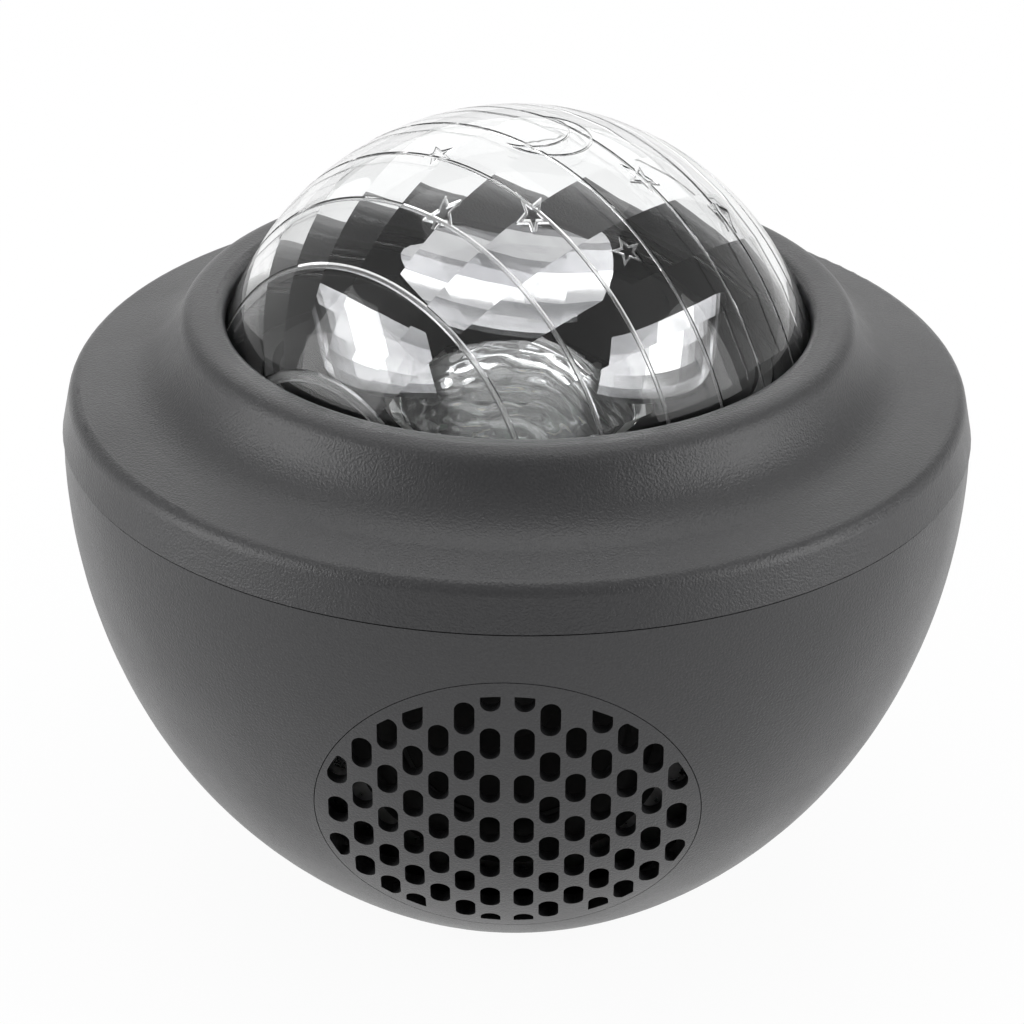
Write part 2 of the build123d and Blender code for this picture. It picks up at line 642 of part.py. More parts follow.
with BuildPart() as dome_stars:
    for star_way, star_tilt, star_turn in STARS:
        tilt = math.radians(star_tilt)
        level_x, level_y = polar(1, star_way)
        outward = Vector(level_x * math.sin(tilt), level_y * math.sin(tilt), math.cos(tilt))
        uphill = Vector(-level_x * math.cos(tilt), -level_y * math.cos(tilt), math.sin(tilt))
        star_plane = Plane(origin=Vector(0, 0, DOME_Z) + outward * DOME_R, x_dir=uphill, z_dir=outward)
        with BuildSketch(star_plane.rotated((0, 0, star_turn))):
            Polygon(*star_corners(STAR_R), align=None)
            Polygon(*star_corners(star_inner_r), align=None, mode=Mode.SUBTRACT)
        extrude(amount=STAR_R, both=True)
    with BuildSketch(Plane.XY.offset(DOME_TOP_Z - MOON_R)):
        add(crescent(0))
        add(crescent(STAR_LINE_W), mode=Mode.SUBTRACT)
    extrude(amount=2 * MOON_R)
    with Locations(dome_place):
        Sphere(DOME_R - STAR_DEPTH, mode=Mode.SUBTRACT)

with BuildPart() as dome_lens:
    with Locations(dome_place):
        Sphere(DOME_R)
    with BuildSketch(Plane.XY.offset(DOME_FLANGE_LOW)):
        Rectangle(4 * DOME_R, 4 * DOME_R)
    extrude(amount=2 * DOME_R, mode=Mode.INTERSECT)
    with BuildSketch(Plane.XY.offset(DOME_FLANGE_LOW)):
        Circle(DOME_FLANGE_R)
    extrude(amount=DOME_FLANGE_T)
    add(dome_hollow.part, mode=Mode.SUBTRACT)
    add(dome_lines.part, mode=Mode.SUBTRACT)
    add(dome_stars.part, mode=Mode.SUBTRACT)
    # Crumbs that a star leaves where it crosses a line fall away
    add(solids().sort_by(SortBy.VOLUME)[-1], mode=Mode.REPLACE)
save(dome_lens.part, "dome_lens")

gasket_in = LIP_R + GASKET_SET
save(ring(gasket_in, gasket_in + GASKET_W, DOME_FLANGE_TOP, DOME_FLANGE_TOP + GASKET_T), "dome_gasket")

# Speaker grille: a flush insert with staggered slots, and a flange behind the bowl's wall
flange_inset = WALL + GRILLE_FLANGE_GAP
grille_behind = bowl_body(flange_inset + GRILLE_FLANGE_T, FLOOR_Z)
grille_flange_body = bowl_body(flange_inset, FLOOR_Z)
slot_places = []
for column in range(SLOT_COLUMNS):
    slot_x = SLOT_MIDDLE_GAP / 2 + column * SLOT_PITCH_X
    rows = int(FIELD_HALF_H / SLOT_PITCH_Z) + 1
    for row in range(-rows, rows + 1):
        slot_z = (row + 0.5 * (column % 2)) * SLOT_PITCH_Z
        if math.hypot(slot_x / FIELD_HALF_W, slot_z / FIELD_HALF_H) ** 2 < FIELD_OVERRUN:
            slot_places += [(slot_x, GRILLE_Z + slot_z), (-slot_x, GRILLE_Z + slot_z)]

with BuildPart() as grille_rim:
    with BuildSketch(Plane.XZ):
        with Locations((0, GRILLE_Z)):
            Circle(GRILLE_R + GRILLE_FLANGE_W)
    extrude(amount=RIM_R)
    add(grille_flange_body, mode=Mode.INTERSECT)

with BuildPart() as grille_pocket:
    with BuildSketch(Plane.XZ):
        with Locations((0, GRILLE_Z)):
            Ellipse(FIELD_HALF_W, FIELD_HALF_H)
    extrude(amount=RIM_R)
    add(bowl_inner, mode=Mode.INTERSECT)

with BuildPart() as speaker_grille:
    with BuildSketch(Plane.XZ):
        with Locations((0, GRILLE_Z)):
            Circle(GRILLE_R)
    extrude(amount=RIM_R)
    add(bowl_outer, mode=Mode.INTERSECT)
    add(grille_rim.part)
    add(grille_behind, mode=Mode.SUBTRACT)
    add(grille_pocket.part, mode=Mode.SUBTRACT)
    with BuildSketch(Plane.XZ):
        with Locations(*slot_places):
            SlotOverall(SLOT_L, SLOT_W, rotation=90)
        with Locations((0, GRILLE_Z)):
            Ellipse(FIELD_HALF_W, FIELD_HALF_H, mode=Mode.INTERSECT)
    extrude(amount=RIM_R, mode=Mode.SUBTRACT)
save(speaker_grille.part, "speaker_grille")

# Feet and the screws that hold the bowl to the light deck
with BuildPart() as rubber_feet:
    with BuildSketch():
        with PolarLocations(FOOT_CIRCLE_R, FOOT_COUNT, start_angle=FOOT_START):
            Circle(FOOT_R)
    extrude(amount=FOOT_DROP + FOOT_RECESS)
    foot_edges = rubber_feet.edges().filter_by(GeomType.CIRCLE).group_by(Axis.Z)[0]
    fillet(foot_edges, FOOT_DROP / 2)
save(rubber_feet.part, "rubber_feet")

head_seat_z = BASE_Z + SCREW_HEAD_H
base_screw_length = FLOOR_Z - head_seat_z + SCREW_BITE
save_group(
    [
        screw(Plane(origin=(x, y, head_seat_z)), base_screw_length, SCREW_R, SCREW_HEAD_R, SCREW_HEAD_H)
        for x, y in leg_places
    ],
    "base_screws",
)

# Light deck: plate, three legs, spigot for the bush, cup for the light and lugs for the heat sink
sink_lugs = [polar(SINK_SCREW_REACH, angle) for angle in SINK_SCREW_ANGLES]
motor_ear_places = [
    (MOTOR_X + dx, MOTOR_Y + dy)
    for dx, dy in (polar(GEARBOX_EAR_REACH, MOTOR_TURN + 90), polar(GEARBOX_EAR_REACH, MOTOR_TURN - 90))
]
with BuildPart() as light_deck:
    with BuildSketch(Plane.XY.offset(DECK_LOW)):
        Circle(DECK_R)
    extrude(amount=DECK_T)
    with BuildSketch(Plane.XY.offset(FLOOR_Z)):
        with Locations(*leg_places):
            Circle(LEG_R)
    extrude(amount=DECK_LOW - FLOOR_Z)
    with BuildSketch(Plane.XY.offset(DECK_TOP)):
        Circle(BUSH_BORE_R - PILOT_GAP)
    extrude(amount=GEAR_TOP - DECK_TOP)
    with BuildSketch(Plane.XY.offset(SINK_TOP)):
        Circle(BUSH_BORE_R - PILOT_GAP)
        with Locations(*sink_lugs):
            Circle(SMALL_BOSS_R)
    extrude(amount=DECK_LOW - SINK_TOP)
    with BuildSketch(Plane.XY.offset(SINK_TOP)):
        Circle(LIGHT_BORE_R)
    extrude(amount=GEAR_TOP - SINK_TOP, mode=Mode.SUBTRACT)
    with BuildSketch(Plane.XY.offset(SINK_TOP)):
        with Locations(*sink_lugs):
            Circle(SMALL_SCREW_R + PILOT_GAP)
    extrude(amount=SMALL_BITE, mode=Mode.SUBTRACT)
    with BuildSketch(Plane.XY.offset(FLOOR_Z)):
        with Locations(*leg_places):
            Circle(SCREW_R + PILOT_GAP)
    extrude(amount=SCREW_BITE, mode=Mode.SUBTRACT)
    with BuildSketch(Plane.XY.offset(DECK_LOW)):
        with PolarLocations(DECK_BOSS_R, DECK_SCREW_COUNT, start_angle=DECK_SCREW_START):
            Circle(SCREW_R + THROUGH_GAP)
        with Locations((MOTOR_X, MOTOR_Y)):
            Circle(NOSE_R + NOSE_GAP)
        with Locations(*motor_ear_places):
            Circle(SMALL_SCREW_R + PILOT_GAP)
    extrude(amount=DECK_T, mode=Mode.SUBTRACT)
save(light_deck.part, "light_deck")

deck_screw_length = DECK_T + SCREW_BITE
deck_screw_places = [
    polar(DECK_BOSS_R, DECK_SCREW_START + 360 * index / DECK_SCREW_COUNT)
    for index in range(DECK_SCREW_COUNT)
]
save_group(
    [
        screw(Plane(origin=(x, y, DECK_LOW)), deck_screw_length, SCREW_R, SCREW_HEAD_R, SCREW_HEAD_H)
        for x, y in deck_screw_places
    ],
    "deck_screws",
)

# Bezel: upright ring between the deck and the dome's flange, with a shelf for the reflector
bezel_in = DOME_FLANGE_R - BEZEL_T
with BuildPart() as dome_bezel:
    add(ring(bezel_in, DOME_FLANGE_R, DECK_TOP, DOME_FLANGE_LOW))
    add(ring(DISH_R, bezel_in + BEZEL_T / 2, SHELF_Z - BEZEL_SHELF_T, SHELF_Z))
save(dome_bezel.part, "dome_bezel")

# Reflector: twelve flat petals that fall to the ripple lens, hung by a rim on the bezel's shelf
dish_mouth_r = RIPPLE_R + DISH_GAP + DISH_T
dish_low_z = RIPPLE_TOP + DISH_GAP
dish_top_r = DISH_R - DISH_GAP


def petal_funnel(lift):
    """Solid funnel with flat petals, lifted from the underside of the reflector."""
    with BuildPart() as body:
        with BuildSketch(Plane.XY.offset(dish_low_z + lift)):
            RegularPolygon(dish_mouth_r, PETALS, major_radius=False)
        with BuildSketch(Plane.XY.offset(SHELF_Z + lift)):
            RegularPolygon(dish_top_r, PETALS)
        loft()
    return body.part


funnel_outside = petal_funnel(0)
funnel_inside = petal_funnel(DISH_T)
with BuildPart() as reflector_dish:
    add(ring(dish_top_r - DISH_RIM_W, DISH_R + DISH_RIM_W, SHELF_Z, SHELF_Z + DISH_T))
    add(funnel_outside)
    add(funnel_inside, mode=Mode.SUBTRACT)
    with BuildSketch(Plane.XY.offset(dish_low_z)):
        Circle(RIPPLE_R + DISH_GAP)
    extrude(amount=DISH_T, mode=Mode.SUBTRACT)
save(reflector_dish.part, "reflector_dish")

# Bush on the deck's spigot, and the ring gear with the ripple lens that turn on it
with BuildPart() as rotor_bush:
    add(ring(BUSH_BORE_R, BUSH_R, DECK_TOP, GEAR_TOP))
    add(ring(BUSH_BORE_R, BUSH_R + BUSH_FLANGE_W, DECK_TOP, DECK_TOP + BUSH_FLANGE_T))
save(rotor_bush.part, "rotor_bush")

with BuildPart() as ring_gear:
    add(gear_blank(RING_TEETH, MOTOR_TURN, Plane.XY.offset(GEAR_Z)))
    with BuildSketch(Plane.XY.offset(GEAR_Z)):
        Circle(BUSH_R + RUN_GAP)
    extrude(amount=GEAR_FACE, mode=Mode.SUBTRACT)
save(ring_gear.part, "ring_gear")

ripple_cap_r = (RIPPLE_RISE**2 + RIPPLE_R**2) / (2 * RIPPLE_RISE)
ripple_cap_z = RIPPLE_TOP + RIPPLE_RISE - ripple_cap_r
with BuildPart() as ripple_lens:
    with Locations((0, 0, ripple_cap_z)):
        Sphere(ripple_cap_r)
        Sphere(ripple_cap_r - RIPPLE_T, mode=Mode.SUBTRACT)
    with BuildSketch(Plane.XY.offset(RIPPLE_TOP)):
        Circle(2 * ripple_cap_r)
    extrude(amount=2 * ripple_cap_r, mode=Mode.INTERSECT)
    add(ring(BUSH_R + RUN_GAP, RIPPLE_R, GEAR_TOP, RIPPLE_TOP))
save(ripple_lens.part, "ripple_lens")

# Motor: gearbox under the deck, can below it, shaft and pinion above
motor_plane = Plane(origin=(MOTOR_X, MOTOR_Y, DECK_LOW))
with BuildPart() as motor_gearbox:
    with BuildSketch(motor_plane):
        Circle(GEARBOX_R)
    extrude(amount=-GEARBOX_L)
    with BuildSketch(motor_plane):
        SlotCenterToCenter(2 * GEARBOX_EAR_REACH, 2 * SMALL_BOSS_R, rotation=MOTOR_TURN + 90)
    extrude(amount=-GEARBOX_EAR_T)
    with BuildSketch(motor_plane):
        Circle(NOSE_R)
    extrude(amount=DECK_T)
    with BuildSketch(motor_plane.offset(DECK_T)):
        Circle(SHAFT_R + RUN_GAP)
    extrude(amount=-DECK_T - GEARBOX_L / 2, mode=Mode.SUBTRACT)
    with BuildSketch(Plane.XY.offset(DECK_LOW)):
        with Locations(*motor_ear_places):
            Circle(SMALL_SCREW_R + THROUGH_GAP)
    extrude(amount=-GEARBOX_EAR_T, mode=Mode.SUBTRACT)
save(motor_gearbox.part, "motor_gearbox")

with BuildPart() as motor_can:
    with BuildSketch(motor_plane.offset(-GEARBOX_L)):
        Circle(MOTOR_CAN_R)
        with Locations((MOTOR_CAN_R, 0), (-MOTOR_CAN_R, 0)):
            Rectangle(MOTOR_CAN_R / 4, 2 * MOTOR_CAN_R, mode=Mode.SUBTRACT)
    extrude(amount=-MOTOR_CAN_L)
    with BuildSketch(motor_plane.offset(-GEARBOX_L - MOTOR_CAN_L)):
        Circle(MOTOR_CAN_R / 3)
    extrude(amount=-SHAFT_R)
save(motor_can.part, "motor_can")

shaft_low_z = DECK_LOW - GEARBOX_L / 2 + END_GAP
with BuildPart() as motor_shaft:
    with BuildSketch(Plane(origin=(MOTOR_X, MOTOR_Y, shaft_low_z))):
        Circle(SHAFT_R)
    extrude(amount=GEAR_TOP - shaft_low_z)
save(motor_shaft.part, "motor_shaft")

pinion_space_angle = MOTOR_TURN + 180 + 180 / PINION_TEETH
with BuildPart() as motor_pinion:
    add(gear_blank(PINION_TEETH, pinion_space_angle, Plane(origin=(MOTOR_X, MOTOR_Y, GEAR_Z))))
    with BuildSketch(Plane(origin=(MOTOR_X, MOTOR_Y, GEAR_Z))):
        Circle(SHAFT_R)
    extrude(amount=GEAR_FACE, mode=Mode.SUBTRACT)
save(motor_pinion.part, "motor_pinion")

motor_screw_length = GEARBOX_EAR_T + DECK_T
save_group(
    [
        screw(
            Plane(origin=(x, y, DECK_LOW - GEARBOX_EAR_T)),
            motor_screw_length,
            SMALL_SCREW_R,
            SMALL_HEAD_R,
            SMALL_HEAD_H,
        )
        for x, y in motor_ear_places
    ],
    "motor_screws",
)

# Light source: finned heat sink, board, light chips and their cone lenses
with BuildPart() as heat_sink:
    with BuildSketch(Plane.XY.offset(SINK_TOP)):
        Circle(SINK_R)
        for angle in SINK_SCREW_ANGLES:
            with Locations(polar(SINK_SCREW_REACH / 2, angle)):
                SlotCenterToCenter(SINK_SCREW_REACH, 2 * SMALL_BOSS_R, rotation=angle)
    extrude(amount=-SINK_BASE_T)
    with BuildSketch(Plane.XY.offset(SINK_TOP - SINK_BASE_T)):
        with GridLocations(SINK_FIN_PITCH, 0, SINK_FINS, 1):
            Rectangle(SINK_FIN_T, 2 * SINK_R)
        Circle(SINK_R, mode=Mode.INTERSECT)
    extrude(amount=-SINK_FIN_L)
    with BuildSketch(Plane.XY.offset(SINK_TOP)):
        with Locations(*sink_lugs):
            Circle(SMALL_SCREW_R + THROUGH_GAP)
    extrude(amount=-SINK_BASE_T, mode=Mode.SUBTRACT)
save(heat_sink.part, "heat_sink")

save_group(
    [
        screw(
            Plane(origin=(x, y, SINK_TOP - SINK_BASE_T)),
            SINK_BASE_T + SMALL_BITE,
            SMALL_SCREW_R,
            SMALL_HEAD_R,
            SMALL_HEAD_H,
        )
        for x, y in sink_lugs
    ],
    "heat_sink_screws",
)

with BuildPart() as led_board:
    with BuildSketch(Plane.XY.offset(SINK_TOP)):
        Circle(LIGHT_BORE_R - LED_BOARD_GAP)
        with PolarLocations(LIGHT_BORE_R - LED_BOARD_GAP, 2):
            Circle(SMALL_SCREW_R, mode=Mode.SUBTRACT)
    extrude(amount=LED_BOARD_T)
save(led_board.part, "led_board")

with BuildPart() as led_chips:
    with BuildSketch(Plane.XY.offset(LED_BOARD_TOP)):
        with PolarLocations(LED_CIRCLE_R, LED_COUNT):
            Rectangle(LED_SIDE, LED_SIDE)
    extrude(amount=LED_H)
save(led_chips.part, "led_chips")

with BuildPart() as led_lenses:
    with Locations(Plane.XY.offset(LED_TOP)):
        with PolarLocations(LED_CIRCLE_R, LED_COUNT):
            Cone(
                LED_LENS_FOOT_R,
                LED_LENS_R,
                LED_LENS_H,
                align=(Align.CENTER, Align.CENTER, Align.MIN),
            )
save(led_lenses.part, "led_lenses")

# Speaker, turned about its own axis from sections in the plane that holds it
speaker_axis = Axis((0, 0, GRILLE_Z), (0, 1, 0))
speaker_front = Plane(origin=(0, SPEAKER_Y, GRILLE_Z), x_dir=(1, 0, 0), z_dir=(0, 1, 0))
basket_back_y = SPEAKER_Y + BASKET_DEPTH
pole_r = COIL_R - COIL_T - COIL_GAP
gap_r = COIL_R + COIL_GAP
cone_edge_r = BASKET_R - SURROUND_LIP_W - 2 * SURROUND_ROLL_R
cone_neck_y = SPEAKER_Y + CONE_DEPTH


def speaker_disc(inner_r, outer_r, front, depth):
    """Ring or disc on the speaker's axis, a depth behind a front place."""
    with BuildPart() as body:
        with BuildSketch(speaker_front.offset(front - SPEAKER_Y)):
            Circle(outer_r)
            if inner_r > 0:
                Circle(inner_r, mode=Mode.SUBTRACT)
        extrude(amount=depth)
    return body.part


with BuildPart() as speaker_frame:
    with BuildSketch(speaker_front):
        RectangleRounded(SPEAKER_SIDE, SPEAKER_SIDE, SPEAKER_CORNER)
        Circle(BASKET_R, mode=Mode.SUBTRACT)
        with GridLocations(2 * SPEAKER_SCREW_REACH, 2 * SPEAKER_SCREW_REACH, 2, 2):
            Circle(SMALL_SCREW_R + THROUGH_GAP, mode=Mode.SUBTRACT)
    extrude(amount=SPEAKER_PLATE_T)
    with BuildSketch(Plane.YZ):
        with BuildLine():
            Polyline(
                (SPEAKER_Y, GRILLE_Z + BASKET_R),
                (basket_back_y - BASKET_T, GRILLE_Z + BASKET_BACK_R - BASKET_T),
                (basket_back_y - BASKET_T, GRILLE_Z + gap_r + BASKET_T),
                (basket_back_y, GRILLE_Z + gap_r + BASKET_T),
                (basket_back_y, GRILLE_Z + BASKET_BACK_R),
                (SPEAKER_Y + SPEAKER_PLATE_T, GRILLE_Z + BASKET_R + BASKET_T),
                (SPEAKER_Y, GRILLE_Z + BASKET_R + BASKET_T),
                close=True,
            )
        make_face()
    revolve(axis=speaker_axis)
    window_y = (SPEAKER_Y + basket_back_y) / 2
    with BuildSketch(Plane.XY.offset(GRILLE_Z)):
        with Locations((0, window_y)):
            Rectangle(BASKET_BACK_R, BASKET_DEPTH / 2)
    extrude(amount=BASKET_R, both=True, mode=Mode.SUBTRACT)
    with BuildSketch(Plane.YZ):
        with Locations((window_y, GRILLE_Z)):
            Rectangle(BASKET_DEPTH / 2, BASKET_BACK_R)
    extrude(amount=BASKET_R, both=True, mode=Mode.SUBTRACT)
save(speaker_frame.part, "speaker_frame")

# Soft ring between the frame and the cone: flat lip, half roll, and the edge glued to the cone
lip_in_r = BASKET_R - SURROUND_LIP_W
roll_middle_r = lip_in_r - SURROUND_ROLL_R
lip_front_y = SPEAKER_Y - SURROUND_T
with BuildPart() as speaker_surround:
    with BuildSketch(Plane.YZ):
        with Locations((SPEAKER_Y, GRILLE_Z + roll_middle_r)):
            Circle(SURROUND_ROLL_R + SURROUND_T)
            Circle(SURROUND_ROLL_R, mode=Mode.SUBTRACT)
        with Locations((SPEAKER_Y, GRILLE_Z + roll_middle_r)):
            Rectangle(
                2 * SURROUND_ROLL_R,
                4 * SURROUND_ROLL_R,
                align=(Align.MAX, Align.CENTER),
                mode=Mode.INTERSECT,
            )
        with Locations((lip_front_y, GRILLE_Z + lip_in_r)):
            Rectangle(SURROUND_T, SURROUND_LIP_W + BASKET_T, align=(Align.MIN, Align.MIN))
        with Locations((lip_front_y, GRILLE_Z + cone_edge_r)):
            Rectangle(SURROUND_T, CONE_LIP_W, align=(Align.MIN, Align.MAX))
    revolve(axis=speaker_axis)
save(speaker_surround.part, "speaker_surround")

# Moving parts of the speaker: paper cone, cap and coil
with BuildPart() as speaker_cone:
    with BuildSketch(Plane.YZ):
        with BuildLine():
            Polyline(
                (SPEAKER_Y, GRILLE_Z + cone_edge_r),
                (SPEAKER_Y, GRILLE_Z + cone_edge_r - CONE_LIP_W),
                (cone_neck_y, GRILLE_Z + COIL_R),
                (cone_neck_y, GRILLE_Z + COIL_R + CONE_T),
                (SPEAKER_Y + CONE_T, GRILLE_Z + cone_edge_r),
                close=True,
            )
        make_face()
    revolve(axis=speaker_axis)
save(speaker_cone.part, "speaker_cone")

cap_seat_share = (CAP_R - COIL_R) / (cone_edge_r - CONE_LIP_W - COIL_R)
cap_seat_y = cone_neck_y - cap_seat_share * CONE_DEPTH
cap_ball_r = (CAP_RISE**2 + CAP_R**2) / (2 * CAP_RISE)
with BuildPart() as speaker_dust_cap:
    with BuildSketch(Plane.YZ):
        with Locations((cap_seat_y - CAP_RISE + cap_ball_r, GRILLE_Z)):
            Circle(cap_ball_r)
            Circle(cap_ball_r - CONE_T, mode=Mode.SUBTRACT)
        with Locations((cap_seat_y, GRILLE_Z)):
            Rectangle(2 * CAP_RISE, 2 * CAP_R, align=(Align.MAX, Align.MIN), mode=Mode.INTERSECT)
    revolve(axis=speaker_axis)
save(speaker_dust_cap.part, "speaker_dust_cap")

save(speaker_disc(COIL_R - COIL_T, COIL_R, cone_neck_y - COIL_LAP, COIL_L), "speaker_voice_coil")

# Magnet system behind the frame
magnet_front_y = basket_back_y + TOP_PLATE_T
pole_plate_y = magnet_front_y + MAGNET_T
save(speaker_disc(gap_r, BASKET_BACK_R, basket_back_y, TOP_PLATE_T), "speaker_top_plate")
save(speaker_disc(gap_r + MAGNET_RECESS, MAGNET_R, magnet_front_y, MAGNET_T), "speaker_magnet")
with BuildPart() as speaker_pole:
    add(speaker_disc(0, POLE_PLATE_R, pole_plate_y, POLE_PLATE_T))
    add(speaker_disc(0, pole_r, basket_back_y, pole_plate_y - basket_back_y))
save(speaker_pole.part, "speaker_pole")

speaker_back_y = SPEAKER_Y + SPEAKER_PLATE_T
save_group(
    [
        screw(
            Plane(origin=(x, speaker_back_y, z), x_dir=(1, 0, 0), z_dir=(0, -1, 0)),
            SPEAKER_PLATE_T + SMALL_BITE,
            SMALL_SCREW_R,
            SMALL_HEAD_R,
            SMALL_HEAD_H,
        )
        for x, z in speaker_screw_places
    ],
    "speaker_screws",
)

# Main board with its parts, upright behind the back wall
board_front = Plane(origin=(0, BOARD_Y, BOARD_Z), x_dir=(1, 0, 0), z_dir=(0, -1, 0))
with BuildPart() as main_board:
    with BuildSketch(board_front):
        RectangleRounded(BOARD_W, BOARD_H, BOARD_SCREW_INSET / 2)
        with GridLocations(BOARD_W - 2 * BOARD_SCREW_INSET, BOARD_H - 2 * BOARD_SCREW_INSET, 2, 2):
            Circle(SMALL_SCREW_R + THROUGH_GAP, mode=Mode.SUBTRACT)
    extrude(amount=-BOARD_T)
save(main_board.part, "main_board")

with BuildPart() as board_chips:
    for (chip_w, chip_h, chip_t), place in zip(CHIP_SIZES, CHIP_PLACES):
        with BuildSketch(board_front):
            with Locations(place):
                Rectangle(chip_w, chip_h)
        extrude(amount=chip_t)
save(board_chips.part, "board_chips")

with BuildPart() as board_capacitors:
    with BuildSketch(board_front):
        with Locations(*CAPACITOR_PLACES):
            Circle(CAPACITOR_R)
    extrude(amount=CAPACITOR_L)
    can_edges = board_capacitors.edges().filter_by(GeomType.CIRCLE).group_by(Axis.Y)[0]
    fillet(can_edges, CAPACITOR_R / 5)
save(board_capacitors.part, "board_capacitors")

save_group(
    [
        screw(
            Plane(origin=(x, BOARD_Y, z), x_dir=(1, 0, 0), z_dir=(0, 1, 0)),
            BOARD_T + SMALL_BITE,
            SMALL_SCREW_R,
            SMALL_HEAD_R,
            SMALL_HEAD_H,
        )
        for x, z in board_screw_places
    ],
    "board_screws",
)

# Power inlet: a flat metal shell with a contact tongue, open to the back
inlet_mouth_y = bowl_depth(0, INLET_Z, 0) - INLET_SET_BACK
inlet_length = inlet_mouth_y - BOARD_BACK
inlet_plane = back_plane.offset(BOARD_BACK)
with BuildPart() as power_inlet:
    with BuildSketch(inlet_plane):
        with Locations((0, INLET_Z)):
            SlotOverall(INLET_W, INLET_H)
    extrude(amount=inlet_length)
    with BuildSketch(inlet_plane.offset(inlet_length)):
        with Locations((0, INLET_Z)):
            SlotOverall(INLET_W - 2 * INLET_WALL, INLET_H - 2 * INLET_WALL)
            Rectangle(INLET_W - INLET_H, INLET_TONGUE_T, mode=Mode.SUBTRACT)
    extrude(amount=-inlet_length / 2, mode=Mode.SUBTRACT)
save(power_inlet.part, "power_inlet")

# Key switches on the board, and the buttons that press them
with BuildPart() as key_switches:
    with BuildSketch(back_plane.offset(BOARD_BACK)):
        with Locations(*[(x, BUTTON_Z) for x in button_across]):
            Rectangle(KEY_SIDE, KEY_SIDE)
    extrude(amount=KEY_H)
    with BuildSketch(back_plane.offset(KEY_TOP)):
        with Locations(*[(x, BUTTON_Z) for x in button_across]):
            Circle(PLUNGER_R + PLUNGER_GAP)
    extrude(amount=-KEY_DEPTH, mode=Mode.SUBTRACT)
save(key_switches.part, "key_switches")

for name, across in zip(BUTTON_NAMES, button_across):
    flange_back = button_seat(across)
    cap_end = bowl_depth(across, BUTTON_Z, 0) + BUTTON_PROUD
    with BuildPart() as button:
        with BuildSketch(back_plane.offset(flange_back - BUTTON_FLANGE_T)):
            with Locations((-across, BUTTON_Z)):
                Circle(BUTTON_FLANGE_R)
        extrude(amount=BUTTON_FLANGE_T)
        with BuildSketch(back_plane.offset(flange_back)):
            with Locations((-across, BUTTON_Z)):
                Circle(BUTTON_R)
        extrude(amount=cap_end - flange_back)
        with BuildSketch(back_plane.offset(PLUNGER_TIP)):
            with Locations((-across, BUTTON_Z)):
                Circle(BUTTON_STEM_R)
        extrude(amount=flange_back - PLUNGER_TIP)
        fillet(button.edges().filter_by(GeomType.CIRCLE).sort_by(Axis.Y)[-1], BUTTON_EDGE)
    save(button.part, f"button_{name}")
    with BuildPart() as plunger:
        with BuildSketch(back_plane.offset(KEY_TOP - PLUNGER_ROOT)):
            with Locations((-across, BUTTON_Z)):
                Circle(PLUNGER_R)
        extrude(amount=PLUNGER_ROOT + PLUNGER_LIFT)
    save(plunger.part, f"plunger_{name}")
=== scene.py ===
# %% [markdown]
# # A night light projector, dressed for its portrait
# A charcoal bowl stands on rubber feet and carries a clear dome. Under the dome, bright petals and a
# turning ripple lens throw stars on the ceiling, and behind the slots in the front sits a speaker.
# The solids come from the CAD frame at their real size. This lesson gives them their finishes,
# models the pieces whose charm lies in fine relief, and lights the lamp for the camera.

# %% Load the frame
import math

import bmesh
import bpy
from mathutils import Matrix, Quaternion, Vector, noise


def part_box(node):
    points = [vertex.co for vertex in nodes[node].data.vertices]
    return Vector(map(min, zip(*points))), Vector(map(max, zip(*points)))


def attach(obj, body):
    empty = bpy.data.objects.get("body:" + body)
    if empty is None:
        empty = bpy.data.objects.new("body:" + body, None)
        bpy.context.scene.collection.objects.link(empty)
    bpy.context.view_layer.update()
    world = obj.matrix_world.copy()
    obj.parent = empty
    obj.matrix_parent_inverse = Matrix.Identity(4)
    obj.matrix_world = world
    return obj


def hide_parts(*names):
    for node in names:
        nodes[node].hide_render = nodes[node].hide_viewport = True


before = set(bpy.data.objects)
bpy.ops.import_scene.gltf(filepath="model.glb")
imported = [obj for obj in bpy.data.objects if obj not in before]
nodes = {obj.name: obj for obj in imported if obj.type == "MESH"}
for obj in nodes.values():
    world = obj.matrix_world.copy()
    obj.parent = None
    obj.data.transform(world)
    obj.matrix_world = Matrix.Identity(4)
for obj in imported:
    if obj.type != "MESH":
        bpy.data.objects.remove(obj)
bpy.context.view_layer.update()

scene = bpy.context.scene

# %% [markdown]
# ## The camera
# A product photograph is usually taken from some way off with a long lens, so that the bowl keeps its
# shape and doesn't bulge towards us. One could drag the camera about until the picture looks right.
# Here its tilt, distance and lens are values, found by matching the ellipse of the rim, so the view
# can be made again at any time. The small roll and shift are those of a camera held by hand.

# %% Camera
VIEW_TILT = math.radians(26.9)
VIEW_TURN = math.radians(0.7)
VIEW_ROLL = math.radians(0.74)
VIEW_REACH = 1.0
AIM = Vector((0, 0, 0.06714))
LENS_MM = 200.3
SENSOR_MM = 36
PICTURE_W = 1024
PICTURE_SHIFT = 3.87

toward_camera = Vector((
    math.sin(VIEW_TURN) * math.cos(VIEW_TILT),
    -math.cos(VIEW_TURN) * math.cos(VIEW_TILT),
    math.sin(VIEW_TILT),
))
camera = bpy.data.objects.new("portrait_camera", bpy.data.cameras.new("portrait_camera"))
scene.collection.objects.link(camera)
camera.data.lens = LENS_MM
camera.data.sensor_width = SENSOR_MM
camera.data.shift_x = -PICTURE_SHIFT / PICTURE_W
camera.location = AIM + toward_camera * VIEW_REACH
camera.rotation_mode = "QUATERNION"
camera.rotation_quaternion = (-toward_camera).to_track_quat("-Z", "Y") @ Quaternion((0, 0, 1), VIEW_ROLL)
scene.camera = camera
print("camera at", [round(value, 3) for value in camera.location])

